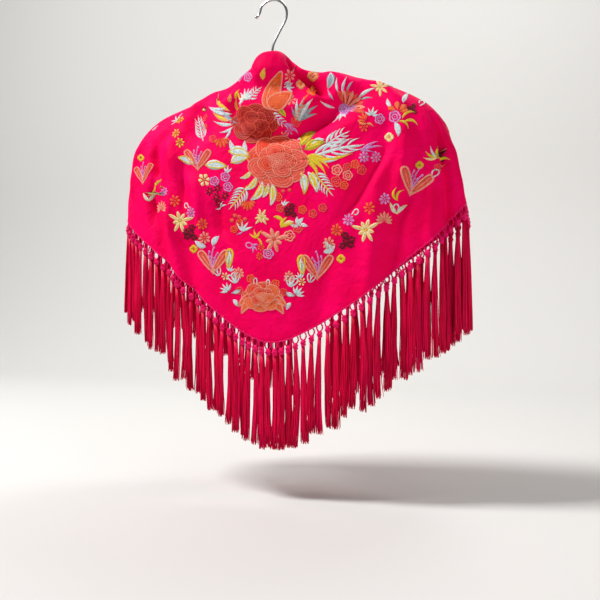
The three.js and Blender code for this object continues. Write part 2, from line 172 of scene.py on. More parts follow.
FINE_FOLDS = np.array([
    [-0.33, 0.5, -0.3, 0.8, 5, -1.5], [-0.06, 0.55, -0.05, 0.8, 6, -1.2],
    [0.05, 0.62, 0.05, 0.95, 7, 1.2], [0.25, 0.5, 0.12, 0.7, 5, -1.4],
    [0.2, 0.4, 0.1, 0.56, 5, 1.2], [-0.1, 0.3, -0.04, 0.5, 6, -1.2],
    [0.33, 0.62, 0.27, 0.9, 6, 1.6], [-0.22, 0.5, -0.2, 0.68, 4, -1.4],
    [-0.21, 0.2, -0.01, 0.36, 13, -13], [-0.08, 0.36, 0.17, 0.37, 12, -16],
    [0.06, 0.365, 0.36, 0.35, 13, -17], [-0.14, 0.2, 0.17, 0.29, 22, 7],
    [0.15, 0.41, 0.34, 0.47, 20, 5], [0.255, 0.02, 0.27, 0.22, 13, -11],
    [0.3, 0.13, 0.2, 0.36, 15, -15], [0.42, 0.18, 0.3, 0.34, 20, 5],
    [-0.32, 0.1, -0.04, 0.14, 8, -5], [-0.33, 0.3, -0.12, 0.42, 13, -8],
    [-0.31, 0.5, -0.2, 0.7, 6, -7], [-0.28, 0.46, -0.11, 0.63, 9, 4.5],
    [0.27, 0.54, 0.1, 0.75, 8, -8], [-0.075, 0.6, -0.06, 0.74, 5, -6],
    [0.34, 0.7, 0.3, 1.0, 9, 4], [-0.16, 0.8, -0.13, 1.0, 6, -5],
    [0.1, 0.76, 0.06, 1.0, 12, -4], [-0.02, 0.66, 0.0, 1.0, 14, 2.5],
    [-0.25, 0.55, -0.24, 0.95, 5, -5.5], [-0.19, 0.62, -0.17, 0.92, 5, 4],
    [-0.36, 0.42, -0.35, 0.9, 6, 5], [-0.4, 0.38, -0.39, 0.8, 5, -6],
    [0.2, 0.62, 0.15, 1.0, 9, 4.5], [0.33, 0.46, 0.22, 0.8, 9, 6],
    [0.04, 0.3, 0.32, 0.285, 9, 6], [-0.2, 0.17, -0.05, 0.3, 9, 3],
    [0.05, 0.335, 0.32, 0.32, 6, -6], [-0.3, 0.35, -0.17, 0.4, 6, -4],
    [-0.17, 0.5, -0.14, 0.8, 4, -4], [-0.115, 0.56, -0.1, 0.86, 5, 3.5],
])
HALF_TURN_LENGTH = 500  # mm along the cloth for one half turn, to measure folds by
DOWN_LENGTH = 370  # mm along the cloth from the neck fold to the hem
FOLD_FADE = 0.35  # share of a fold's length over which an end eases out
RIPPLE = 0.35
FINE_RIPPLE = 0.25
RIPPLE_START = 0.1  # share down by which the ripple is full
# Changes of the hem's height: half turns from the back centre, width in half turns, and mm.
HEM_CHANGES = ((-0.2, 0.11, 9), (0.16, 0.1, -9), (0.3, 0.06, -5), (0.44, 0.04, 8))
KNOTS = 100
KNOT_SPACING_AT_POINT = 0.68
POINT_SPAN = 45
TURN_RADIUS = 2.6
TURNED_REACH = 0.075  # share down that the edge is turned in at the neck
TURNED_HALF_WIDTH = 0.4  # half turns from the back centre at which it is narrow
TURN_NARROWS_OVER = 0.1
NARROW_TURN = 0.012
CLOTH_THICK = 0.8
COLUMNS_A_KNOT = 3
ROWS_DOWN = 124
TURNED_ROWS = 6
BEND_ROWS = 7
# Painted light and shade: a lit, more magenta tone and a shaded, deeper tone of the one crepe.
CREPE_LIT = (0.92, 0.0, 0.108, 1)
CREPE_SHADED = (0.8, 0.0, 0.07, 1)
CREPE_SHEEN = (1.0, 0.05, 0.25, 1)
CRINKLE_SHARE = 14.0  # how far the crinkles stand out beside the pebbled weave


def section_value(name, down):
    """A smooth curve through one column of the sections: cubic pieces whose slope at a section
    is the average of its neighbours' slopes, weighted by their lengths."""
    x, y = SECTIONS[:, 0], SECTIONS[:, SECTION_NAMES.index(name)]
    step = np.diff(x)
    slope = np.diff(y) / step
    inner = (slope[:-1] * step[1:] + slope[1:] * step[:-1]) / (step[1:] + step[:-1])
    tangent = np.concatenate([slope[:1], inner, slope[-1:]])
    i = np.clip(np.searchsorted(x, down, side="right") - 1, 0, len(step) - 1)
    h = step[i]
    t = (down - x[i]) / h
    return ((1 + 2 * t) * (1 - t) ** 2 * y[i] + t * (1 - t) ** 2 * h * tangent[i]
            + t * t * (3 - 2 * t) * y[i + 1] + t * t * (t - 1) * h * tangent[i + 1])


def ease(t):
    """0 below 0, 1 above 1, and three t squared less two t cubed between."""
    t = np.clip(t, 0, 1)
    return t * t * (3 - 2 * t)


def plain_cloth(turn, down):
    """The cloth without folds. Its sideways reach is the sine of the turn and its depth the
    cosine, both to the section's power, and it drops from the shoulder to each centre by a
    power of the reach. turn is in half turns from the back centre."""
    sine, cosine = np.sin(turn * np.pi), np.cos(turn * np.pi)
    square = section_value("square", down)
    out = np.abs(sine) ** square
    side = np.where(turn < 0, section_value("left", down), section_value("right", down))
    side_z = np.where(turn < 0, section_value("leftZ", down), section_value("rightZ", down))
    centre_z = np.where(cosine > 0, section_value("backZ", down), section_value("frontZ", down))
    depth = np.where(cosine > 0, section_value("back", down), section_value("front", down))
    r = POINT_ROUNDING
    climb = (np.hypot(out, r) - r) / (math.hypot(1, r) - r)
    rise = sum(mm * np.exp(-((turn - at) / width) ** 2) for at, width, mm in HEM_CHANGES)
    middle = section_value("middle", down)
    fall = section_value("fall", down)
    return np.stack([middle + (side - middle) * out,
                     depth * np.abs(cosine) ** square,
                     centre_z + (side_z - centre_z) * climb ** fall + rise * down ** 3], -1)


def fold_depth(turn, down, folds):
    """The sum of the folds: each is a bell curve across its line that eases in and out along
    it. A fold that ends at the hem doesn't ease out."""
    total = np.zeros(np.broadcast(turn, down).shape)
    for turn1, down1, turn2, down2, width, deep in folds:
        along = np.array([(turn2 - turn1) * HALF_TURN_LENGTH, (down2 - down1) * DOWN_LENGTH])
        length = math.hypot(*along)
        along = along / length
        fx, fy = (turn - turn1) * HALF_TURN_LENGTH, (down - down1) * DOWN_LENGTH
        way = fx * along[0] + fy * along[1]
        across = (fx * along[1] - fy * along[0]) / width
        fade = ease(way / length / FOLD_FADE)
        if down2 < 1:
            fade = fade * ease((length - way) / length / FOLD_FADE)
        total = total + deep * np.exp(-across ** 2) * fade
    return total


def facing(surface, turn, down):
    """The outward direction: the step down the cloth crossed with the step along the turn."""
    e = 0.004
    sideways = surface(turn + e, down) - surface(turn - e, down)
    lower = surface(turn, np.minimum(1, down + e)) - surface(turn, np.maximum(0, down - e))
    normal = np.cross(lower, sideways)
    return normal / np.linalg.norm(normal, axis=-1, keepdims=True)


def frame_cloth(turn, down):
    """The outer face of the frame's own solid: the plain cloth moved out by its main folds."""
    deep = fold_depth(turn, down, MAIN_FOLDS)[..., None]
    return plain_cloth(turn, down) + facing(plain_cloth, turn, down) * deep


def cloth(turn, down):
    """The outer face with its fine creases and a slight ripple, fading out at the neck fold."""
    ripple = (RIPPLE * np.sin(turn * 61 + down * 9) * np.sin(down * 23 + turn * 17)
              + FINE_RIPPLE * np.sin(turn * 143 + 4 * np.sin(down * 11)) * down)
    deep = fold_depth(turn, down, MAIN_FOLDS) + fold_depth(turn, down, FINE_FOLDS)
    deep = (deep + ripple * ease(down / RIPPLE_START))[..., None]
    return plain_cloth(turn, down) + facing(plain_cloth, turn, down) * deep


def knot_shares():
    """Where the knots hang along the hem, from -1 to 1: equal steps along its length, closer
    together by a bell curve round the back point."""
    samples = 2000
    share = np.linspace(-1, 1, samples + 1)
    hem = frame_cloth(share * section_value("open", 1.0), np.ones(samples + 1))
    near = np.exp(-((hem[1:, 0] - section_value("middle", 1.0)) / POINT_SPAN) ** 2)
    near = np.where(hem[1:, 1] < 0, near, 0)
    step = np.linalg.norm(np.diff(hem, axis=0), axis=1) / (1 - (1 - KNOT_SPACING_AT_POINT) * near)
    reached = np.concatenate([[0], np.cumsum(step)])
    return np.interp(np.linspace(0, reached[-1], KNOTS + 1), reached, share)


knot_share = knot_shares()


def make_piece(name, points, faces, finish):
    """A mesh object from points in mm and lists of corners, riding on the shawl's one body."""
    mesh = bpy.data.meshes.new(name)
    mesh.from_pydata((points / 1000).tolist(), [], faces)
    mesh.polygons.foreach_set("use_smooth", np.ones(len(mesh.polygons), bool))
    mesh.materials.append(finish)
    piece = bpy.data.objects.new(name, mesh)
    bpy.context.scene.collection.objects.link(piece)
    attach(piece, "root")
    return piece


def grid_quads(columns, rows, first=0, flip=False):
    """The quads of a grid of points stored column by column."""
    a = (np.arange(columns - 1)[:, None] * rows + np.arange(rows - 1)[None, :]).ravel() + first
    quads = np.stack([a, a + 1, a + rows + 1, a + rows], 1)
    return quads[:, ::-1] if flip else quads


def cloth_shell():
    """The outer face of the thin shell and its outward directions: for each column a turned
    edge inside, a half circle over the neck, and the drape down to the hem."""
    columns = KNOTS * COLUMNS_A_KNOT + 1
    share = np.interp(np.linspace(0, KNOTS, columns), np.arange(KNOTS + 1), knot_share)[:, None]
    open_top = section_value("open", 0.0)
    past = (np.abs(share * open_top) - TURNED_HALF_WIDTH) / TURN_NARROWS_OVER + 1
    reach = np.maximum(NARROW_TURN, TURNED_REACH * (1 - ease(past)))
    inner_down = reach * (1 - np.arange(TURNED_ROWS)[None, :] / TURNED_ROWS)
    turn = share * section_value("open", inner_down)
    out = facing(cloth, turn, inner_down)
    turned_in = cloth(turn, inner_down) - 2 * TURN_RADIUS * out
    top_turn = share[:, 0] * open_top
    zero = np.zeros(columns)
    below = 0.01
    top, top_out = cloth(top_turn, zero), facing(cloth, top_turn, zero)
    up = top - cloth(share[:, 0] * section_value("open", below), zero + below)
    up -= top_out * (up * top_out).sum(-1, keepdims=True)
    up /= np.linalg.norm(up, axis=-1, keepdims=True)
    angle = np.pi * (1 - np.arange(BEND_ROWS) / BEND_ROWS)[None, :, None]
    bend_out = top_out[:, None] * np.cos(angle) + up[:, None] * np.sin(angle)
    bend = (top - TURN_RADIUS * top_out)[:, None] + TURN_RADIUS * bend_out
    down = np.linspace(0, 1, ROWS_DOWN + 1)[None, :] + 0 * share
    turn = share * section_value("open", down)
    outer = np.concatenate([turned_in, bend, cloth(turn, down)], 1)
    normal = np.concatenate([-out, bend_out, facing(cloth, turn, down)], 1)
    return outer, normal


# The inner face is the same points moved in by the cloth's thickness, joined round the rim.
outer, normal = cloth_shell()
columns, rows = outer.shape[:2]
points = np.concatenate([outer.reshape(-1, 3), (outer - CLOTH_THICK * normal).reshape(-1, 3)])
inner = columns * rows
rim = np.concatenate([
    np.arange(columns) * rows,
    (columns - 1) * rows + np.arange(1, rows),
    np.arange(columns - 2, -1, -1) * rows + rows - 1,
    np.arange(rows - 2, 0, -1),
])
after = np.roll(rim, -1)
faces = np.concatenate([
    grid_quads(columns, rows), grid_quads(columns, rows, inner, flip=True),
    np.stack([rim, after, after + inner, rim + inner], 1),
]).tolist()

crepe, tree, shader = new_finish("fuchsia_crepe", Roughness=0.62, Specular_IOR_Level=0.02,
                                 Sheen_Weight=0.02, Sheen_Roughness=0.4, Sheen_Tint=CREPE_SHEEN)
# Painted light and shade: broad noise blends the crepe between its lit and its shaded tone.
painted_light_blotches = texture(tree, "TexNoise", Scale=26.0, Detail=3.0)
pebble = texture(tree, "TexNoise", Scale=900.0, Detail=3.0, Roughness=0.7)
crinkle = texture(tree, "TexNoise", Scale=75.0, Detail=2.0, Distortion=0.8)
relief = add_node(tree, "Math", operation="MULTIPLY_ADD")
tree.links.new(crinkle, relief.inputs[0])
relief.inputs[1].default_value = CRINKLE_SHARE
tree.links.new(pebble, relief.inputs[2])
two_tones(tree, painted_light_blotches, CREPE_SHADED, CREPE_LIT, shader.inputs["Base Color"])
bump_from(tree, shader, relief.outputs["Value"], 0.00012)

shawl = make_piece("shawl_crepe", points, faces, crepe)
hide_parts("shawl_cloth")

# The fringe. Crimson silk threads are knotted into the rolled hem in bundles: a twisted pair at
# each side leaves the edge round an open eye, both meet in a wound knot, and forty-four threads
# hang below it. Drops are mm from the hem.
HEM_ROLL = 0.9
KNOT_TOP_DROP = 8
KNOT_END_DROP = 17.5
KNOT_NECK = 1.3
KNOT_BULGE = 2.2
WINDING_RADIUS = 0.62
EYE_NECK = 0.9
EYE_BOW = 2.7
TWIST_RADIUS = 0.5
STRAND_RADIUS = 0.66
FULL_SPACING = 8  # mm between knots at which a bundle has its full width
LEAST_KNOT = 0.7  # smallest share of its size for a crowded knot
FRINGE_LENGTH = 125
FRINGE_EXTRA_AT_RIGHT = 15
EXTRA_STARTS_X = 170
EXTRA_GROWS_OVER = 60
RAGGED = 6
SWAY = 2.2
BOW = 1.3  # bow of a bundle as a share of its sway
THREADS = 44
THREAD_ROWS = 8
THREAD_RADIUS = 0.55
THREAD_DRIFT = 2.2
THREAD_WAVE = 0.7
THREAD_UNEVEN = 2.5
THREAD_SEED = 5
GOLDEN_ANGLE = 2.399963  # radians between neighbours, which spreads threads evenly over a disc
BUNDLE_HALF_WIDTH = 3.9
BUNDLE_HALF_THICK = 2.3
THREAD_LIGHT = (0.84, 0.0, 0.05, 1)
THREAD_DARK = (0.42, 0.0, 0.01, 1)
# Painted bounce light: on the threads the magenta tones are mixed into the crimson of the one dye; the
# knots take the light magenta as their own colour.
MAGENTA_LIGHT = (0.9, 0.0, 0.1, 1)
MAGENTA_DARK = (0.5, 0.0, 0.035, 1)
KNOT_PINK = (1.0, 0.004, 0.18, 1)
STRAND_STOPS = (0.35, 0.6)


def scatter(index, seed):
    """A number from -1 to 1 for each index, the fraction of a large sine; the same each run."""
    wave = np.sin(index * 12.9898 + seed * 78.233) * 43758.5453
    return 2 * (wave - np.floor(wave)) - 1


def tube_faces(count, stations, sides):
    """Faces of many tubes. Each tube's points are stored ring by ring with its two end points
    last: quads join neighbours on neighbouring rings, and a fan closes each end."""
    block = stations * sides + 2
    i = np.arange(sides)
    j = (i + 1) % sides
    first = np.arange(stations - 1)[:, None] * sides
    a, b = (first + i).ravel(), (first + j).ravel()
    last = (stations - 1) * sides
    quads = np.stack([a, b, b + sides, a + sides], 1)
    fans = np.concatenate([np.stack([j, i, 0 * i + block - 2], 1),
                           np.stack([last + i, last + j, 0 * i + block - 1], 1)])
    offset = (np.arange(count) * block)[:, None, None]
    return (quads + offset).reshape(-1, 4).tolist() + (fans + offset).reshape(-1, 3).tolist()


def tubes(paths, widths, sides):
    """Closed tubes along many paths at once. paths is (tubes, stations, 3) and widths the
    radius at each station; a ring of points stands square to the path at each station."""
    count, stations = paths.shape[:2]
    tangent = np.gradient(paths, axis=1)
    tangent /= np.maximum(np.linalg.norm(tangent, axis=-1, keepdims=True), 1e-9)
    helper = np.where(np.abs(tangent[..., 2:3]) > 0.8, [0.0, 1.0, 0.0], [0.0, 0.0, 1.0])
    across = np.cross(tangent, helper)
    across /= np.linalg.norm(across, axis=-1, keepdims=True)
    upward = np.cross(across, tangent)
    angle = np.linspace(0, 2 * np.pi, sides, endpoint=False)
    ring = (across[:, :, None] * np.cos(angle)[:, None]
            + upward[:, :, None] * np.sin(angle)[:, None])
    points = paths[:, :, None] + ring * widths[:, :, None, None]
    points = np.concatenate([points.reshape(count, -1, 3), paths[:, [0, -1]]], 1)
    return points.reshape(-1, 3), tube_faces(count, stations, sides)


def join_parts(parts):
    """Points and faces of several parts as one."""
    points, faces, start = [], [], 0
    for part_points, part_faces in parts:
        points.append(part_points)
        faces += [[i + start for i in face] for face in part_faces]
        start += len(part_points)
    return np.concatenate(points), faces


def hem_line(share):
    """The hem at shares from -1 to 1, in the middle of the cloth's thickness."""
    turn, down = share * section_value("open", 1.0), np.ones(len(share))
    return cloth(turn, down) - facing(cloth, turn, down) * CLOTH_THICK / 2


hem = hem_line(knot_share)
step = hem[1:] - hem[:-1]
away = np.stack([step[:, 1], -step[:, 0], 0 * step[:, 0]], 1)
away /= np.linalg.norm(away, axis=1, keepdims=True)
along = np.stack([-away[:, 1], away[:, 0], 0 * away[:, 0]], 1)
down_by = np.array([0.0, 0.0, -1.0])
knot = (hem[1:] + hem[:-1]) / 2
k = np.arange(KNOTS)
room = np.minimum(1, np.hypot(step[:, 0], step[:, 1]) / FULL_SPACING)
sway = SWAY * scatter(k, 1) * room
reach = 2 * SWAY * scatter(k, 2)
bow = BOW * SWAY * scatter(k, 6) * room
right_share = ease((knot[:, 0] - EXTRA_STARTS_X) / EXTRA_GROWS_OVER)
length = FRINGE_LENGTH + FRINGE_EXTRA_AT_RIGHT * right_share + RAGGED * scatter(k, 3)


def bundle_threads(chosen):
    """The hanging threads of the chosen bundles. Each starts inside its knot, spreads to its
    own place in a flat bundle, and drifts with a slow wave to an uneven end."""
    s = np.linspace(0, 1, THREAD_ROWS)
    t = np.arange(THREADS)
    number = chosen[:, None] * THREADS + t[None, :]
    crowd, lean, curve, forward, long = (value[chosen][:, None, None]
                                         for value in (room, sway, bow, reach, length))
    angle = GOLDEN_ANGLE * t
    radius = np.sqrt((t + 0.5) / THREADS)
    side = (radius * np.cos(angle))[None, :, None]
    deep = (radius * np.sin(angle))[None, :, None]
    spread = ease(s * 2.2)[None, None, :]
    drift = scatter(number, THREAD_SEED)[:, :, None] * s ** 2 * THREAD_DRIFT
    pace = 3 + 2 * scatter(number, THREAD_SEED + 1)[:, :, None]
    wave = THREAD_WAVE * np.sin(s * pace * np.pi)
    wide = crowd * BUNDLE_HALF_WIDTH
    a = side * wide * (0.45 + 0.55 * spread) + drift + wave * s * 0.8
    a = a + lean * s + curve * np.sin(np.pi * s)
    b = deep * BUNDLE_HALF_THICK * (0.6 + 0.4 * spread) + forward * s
    b = b + scatter(number, THREAD_SEED + 2)[:, :, None] * s
    end = long + THREAD_UNEVEN * scatter(number, THREAD_SEED + 3)[:, :, None]
    drop = KNOT_END_DROP - 2 + (end - KNOT_END_DROP + 2) * s
    path = (knot[chosen][:, None, None] + along[chosen][:, None, None] * a[..., None]
            + away[chosen][:, None, None] * b[..., None] + down_by * drop[..., None])
    path = path.reshape(-1, THREAD_ROWS, 3)
    width = np.full(path.shape[:2], THREAD_RADIUS)
    width[:, -1] *= 0.6
    return tubes(path, width, 3)


def by_knot(chosen, drop, aside, forward):
    """Paths at the chosen knots: a drop below the hem, then along it and away from it."""
    return (knot[chosen][:, None] + down_by * drop[None, :, None]
            + along[chosen][:, None] * aside[..., None]
            + away[chosen][:, None] * forward[..., None])


def knot_girth(s):
    """Radius of a knot at a share of its height: a bulb by a sine that is fuller at its top."""
    return KNOT_NECK + KNOT_BULGE * np.sin(np.pi * s) ** 0.7 * (1 - 0.25 * s)


def knot_heads(chosen):
    """Each knot: a short bulb, and a thread that winds twice round it on a helix."""
    s = np.linspace(0, 1, 9)
    drop = KNOT_TOP_DROP + (KNOT_END_DROP - KNOT_TOP_DROP) * s
    snug = np.maximum(LEAST_KNOT, room[chosen])[:, None]
    path = knot[chosen][:, None] + down_by * drop[None, :, None]
    bulbs = tubes(path, knot_girth(s)[None, :] * snug, 8)
    s = np.linspace(0.1, 0.9, 19)
    angle = 4.6 * np.pi * s[None, :] + 3 * scatter(chosen, 7)[:, None]
    girth = (knot_girth(s) + 0.15)[None, :] * snug
    drop = KNOT_TOP_DROP + (KNOT_END_DROP - KNOT_TOP_DROP) * s
    path = by_knot(chosen, drop, girth * np.cos(angle), girth * np.sin(angle))
    return join_parts([bulbs, tubes(path, np.full(path.shape[:2], WINDING_RADIUS), 4)])


def heading_loops(chosen):
    """The round eye over each knot: at each side two threads twisted on a helix, bowed out by a
    sine from the hem and back to the knot's top."""
    s = np.linspace(0, 1, 10)
    drop = -0.8 + (KNOT_TOP_DROP + 2.0) * s
    snug = np.maximum(LEAST_KNOT, room[chosen])[:, None]
    parts = []
    for side in (-1, 1):
        for phase in (0, np.pi):
            twist = 3.4 * np.pi * s + phase
            out = side * (EYE_NECK + EYE_BOW * np.sin(np.pi * s) ** 0.8)[None, :] * snug
            path = by_knot(chosen, drop, out + TWIST_RADIUS * np.cos(twist),
                           (TWIST_RADIUS * np.sin(twist))[None, :])
            parts.append(tubes(path, np.full(path.shape[:2], STRAND_RADIUS), 4))
    return join_parts(parts)


silk, tree, shader = new_finish("crimson_silk_threads", Roughness=0.45,
                                Specular_IOR_Level=0.12)
strand = texture(tree, "TexNoise", (700, 700, 9), Scale=1.0, Detail=3.0)
# Painted bounce light: slow noise mixes the magenta tones into the threads' crimson.
painted_bounce = texture(tree, "TexNoise", (70, 70, 7), Scale=1.0, Detail=1.0)
mixed = add_node(tree, "MixRGB")
tree.links.new(painted_bounce, mixed.inputs["Fac"])
two_tones(tree, strand, THREAD_DARK, THREAD_LIGHT, mixed.inputs["Color1"], STRAND_STOPS)
two_tones(tree, strand, MAGENTA_DARK, MAGENTA_LIGHT, mixed.inputs["Color2"], STRAND_STOPS)
tree.links.new(mixed.outputs["Color"], shader.inputs["Base Color"])
bump_from(tree, shader, strand, 0.0001)

knot_silk, tree, shader = new_finish("knotted_silk", Roughness=0.45, Specular_IOR_Level=0.15)
twist = texture(tree, "TexWave", Scale=420.0, Distortion=2.0)
two_tones(tree, twist, MAGENTA_LIGHT, KNOT_PINK, shader.inputs["Base Color"], (0.0, 0.4))
bump_from(tree, shader, twist, 0.0003)

# The rolled hem swells and narrows twice between two knots.
fine = np.linspace(0, KNOTS, 4 * KNOTS + 1)
edge = hem_line(np.interp(fine, np.arange(KNOTS + 1), knot_share))
roll = HEM_ROLL * (1 + 0.12 * np.sin(fine * 2 * np.pi * 2))
points, faces = tubes(edge[None] + down_by * 0.2, roll[None], 8)
make_piece("rolled_hem", points, faces, knot_silk)

for side, chosen in (("left", np.arange(KNOTS // 2)), ("right", np.arange(KNOTS // 2, KNOTS))):
    points, faces = bundle_threads(chosen)
    threads = make_piece("fringe_threads_" + side, points, faces, silk)
    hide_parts("fringe_" + side)
    points, faces = join_parts([knot_heads(chosen), heading_loops(chosen)])
    make_piece("fringe_knots_" + side, points, faces, knot_silk)

# The embroidery. Satin stitch in coral, orange, yellow, cream, lilac and pale silk, sewn flat on
# the crepe before the fringe is knotted. Each petal, leaf and stem is a low padded band of
# thread. Shapes are drawn on a flat frame at the spot, in view steps, and laid on the cloth.
VIEW_TURN = math.radians(20)  # of the photograph's camera, from straight behind
EYE = np.array([386.0, -956.5, -385.0])
EYE_RIGHT = np.array([math.cos(VIEW_TURN), math.sin(VIEW_TURN), 0.0])
EYE_AHEAD = np.array([-math.sin(VIEW_TURN), math.cos(VIEW_TURN), 0.0])
VIEW_CENTRE = 300
VIEW_STEPS = 800.0  # view steps across for one unit of distance ahead
STEP_MM = 1.19
STITCH_LIFT = 0.12
REVERSE_DEPTH = 1.3
BAND_ANGLES = np.radians([0, 60, 120, 180, 240, 300])
SILKS = {  # light and dark of each dyed silk
    "coral": ((0.92, 0.12, 0.075, 1), (0.8, 0.06, 0.04, 1)),
    "rose_coral": ((1.0, 0.38, 0.27, 1), (0.95, 0.25, 0.18, 1)),
    # brick is a dark red for fine lines and hearts; on the rose under the collar roll it is painted
    # shade.
    "brick": ((0.5, 0.016, 0.01, 1), (0.34, 0.006, 0.006, 1)),
    "scarlet": ((0.92, 0.07, 0.022, 1), (0.8, 0.035, 0.014, 1)),
    "orange": ((1.0, 0.17, 0.03, 1), (0.9, 0.1, 0.018, 1)),
    "apricot": ((1.0, 0.42, 0.16, 1), (0.9, 0.26, 0.08, 1)),
    "yellow": ((0.9, 0.66, 0.03, 1), (0.76, 0.5, 0.015, 1)),
    "cream": ((0.98, 0.85, 0.42, 1), (0.9, 0.68, 0.24, 1)),
    "lilac": ((0.78, 0.36, 0.74, 1), (0.55, 0.16, 0.5, 1)),
    "pale_blue": ((0.78, 0.88, 0.88, 1), (0.5, 0.64, 0.68, 1)),
    "grey_blue": ((0.38, 0.52, 0.58, 1), (0.22, 0.32, 0.38, 1)),
    "leaf_green": ((0.5, 0.48, 0.03, 1), (0.3, 0.3, 0.02, 1)),
    "claret": ((0.16, 0.0, 0.014, 1), (0.07, 0.0, 0.006, 1)),
}
GRID_TURNS = np.linspace(-0.985, 0.985, 1101)
GRID_DOWNS = np.linspace(0, 1, 361)


def cloth_table():
    """The cloth's points and outward directions on an even grid, to look places up in."""
    turn, down = np.meshgrid(GRID_TURNS, GRID_DOWNS, indexing="ij")
    points = cloth(turn, down)
    normal = np.cross(np.gradient(points, axis=1), np.gradient(points, axis=0))
    return np.concatenate([points, normal / np.linalg.norm(normal, axis=-1, keepdims=True)], -1)


cloth_grid = cloth_table()


def look_up(turn, down):
    """Points and outward directions by straight blending in the grid's cell."""
    u = (turn - GRID_TURNS[0]) / (GRID_TURNS[1] - GRID_TURNS[0])
    v = down / GRID_DOWNS[1]
    i = np.clip(u.astype(int), 0, len(GRID_TURNS) - 2)
    j = np.clip(v.astype(int), 0, len(GRID_DOWNS) - 2)
    u, v = (u - i)[..., None], (v - j)[..., None]
    return ((cloth_grid[i, j] * (1 - u) + cloth_grid[i + 1, j] * u) * (1 - v)
            + (cloth_grid[i, j + 1] * (1 - u) + cloth_grid[i + 1, j + 1] * u) * v)


def spot_seen_at(x, y):
    """Turn and down of the cloth that shows at a view step: of the grid's points that face
    the eye, the one whose image is nearest, by the pinhole rule."""
    offset = cloth_grid[..., :3] - EYE
    ahead = offset @ EYE_AHEAD
    seen = ((offset * cloth_grid[..., 3:]).sum(-1) < 0)
    miss = ((VIEW_CENTRE + VIEW_STEPS * (offset @ EYE_RIGHT) / ahead - x) ** 2
            + (VIEW_CENTRE - VIEW_STEPS * offset[..., 2] / ahead - y) ** 2
            + 0.02 * ahead / STEP_MM)
    best = np.argmin(np.where(seen, miss, 1e9))
    i, j = divmod(best, len(GRID_DOWNS))
    return GRID_TURNS[i], GRID_DOWNS[j]


def drawing_frame(turn, down, from_eye):
    """Centre, right and up of the flat frame that a shape is drawn on. It faces the eye where
    the cloth does, and lies on the cloth where the cloth turns away."""
    here = look_up(np.array([turn]), np.array([down]))[0]
    centre, normal = here[:3], here[3:]
    if from_eye:
        to_eye = (EYE - centre) / np.linalg.norm(EYE - centre)
        share = min(1.0, max(0.0, (normal @ to_eye - 0.35) / 0.3))
        face = to_eye * share + normal * (1 - share)
        face /= np.linalg.norm(face)
        right = EYE_RIGHT - face * (EYE_RIGHT @ face)
        right /= np.linalg.norm(right)
        return centre, right, np.cross(face, right)
    up = np.array([0.0, 0.0, 1.0]) - normal * normal[2]
    up /= np.linalg.norm(up)
    return centre, np.cross(up, normal), up


def lay_on_cloth(start, frames, flat, height):
    """Cloth points under flat drawing points: Newton steps on turn and down until the place's
    right and up equal the drawing's, then out along the cloth's direction by the height."""
    turn, down = start[:, 0].copy(), start[:, 1].copy()
    centre, right, up = frames[:, 0], frames[:, 1], frames[:, 2]
    e, longest = 0.003, 0.04  # turn or share down: the step to measure by, and the most to go
    least = 2e3  # keeps the area for a unit of turn and of down from zero, edge on to the eye
    for _ in range(5):
        here = look_up(turn, down)[:, :3]
        by_turn = (look_up(turn + e, down)[:, :3] - look_up(turn - e, down)[:, :3]) / (2 * e)
        high, low = np.minimum(down + e, 1), np.maximum(down - e, 0)
        by_down = (look_up(turn, high)[:, :3] - look_up(turn, low)[:, :3]) / (high - low)[:, None]
        miss = flat - np.stack([((here - centre) * right).sum(1), ((here - centre) * up).sum(1)], 1)
        a, b = (by_turn * right).sum(1), (by_down * right).sum(1)
        c, d = (by_turn * up).sum(1), (by_down * up).sum(1)
        scale = a * d - b * c
        scale = np.where(np.abs(scale) < least, np.where(scale < 0, -least, least), scale)
        turn = turn + np.clip((miss[:, 0] * d - miss[:, 1] * b) / scale, -longest, longest)
        down = down + np.clip((miss[:, 1] * a - miss[:, 0] * c) / scale, -longest, longest)
        down = np.clip(down, 0.002, 0.998)
        limit = section_value("open", down) - 0.004
        turn = np.clip(turn, -limit, limit)
    here = look_up(turn, down)
    return here[:, :3] + here[:, 3:] * height[:, None]


def stroke(silk, start, end, half, bend=0.0, shape="oval", height=0.5, stations=9):
    """One band of satin stitch from start to end: a path bowed to its side by bend times its
    length, and a half width that follows the shape. Half widths are in view steps."""
    t = np.linspace(0, 1, stations)
    start, end = np.array(start, float), np.array(end, float)
    way = end - start
    aside = np.array([-way[1], way[0]])
    path = start + way * t[:, None] + aside * (bend * 4 * t * (1 - t))[:, None]
    s = np.sin(np.pi * np.clip(t, 0, 1))
    profile = {
        "oval": s ** 0.55,
        "blunt": s ** 0.3,
        "drop": np.sin(np.pi * t ** 1.7) ** 0.7,
        "leaf": np.sin(np.pi * t ** 0.8) ** 1.1,
        "line": 0.75 + 0.25 * s,
    }[shape]
    return [(silk, path, np.maximum(half * profile, 0.12), np.full(stations, height))]


def bead(silk, reach, half, height, stations=5):
    """A short oval band across the middle of a flower."""
    return stroke(silk, (-reach, 0), (reach, 0), half, 0, "oval", height, stations)


def ring(silk, path, half=0.45, height=0.45):
    """A closed line of stitches along a path that returns to its start."""
    return [(silk, path, np.full(len(path), half), np.full(len(path), height))]


def round_path(radius, stations=25, lobes=0, wave=0.0, middle=(0, 0), phase=0.0, tall=1.0):
    """A circle, or a scalloped one whose radius swells by a rectified cosine at each lobe."""
    a = np.linspace(0, 2 * np.pi, stations)
    r = radius * (1 + wave * (np.abs(np.cos((a + phase) * lobes / 2)) - 0.6))
    return np.stack([middle[0] + r * np.cos(a), middle[1] + r * np.sin(a) * tall], 1)


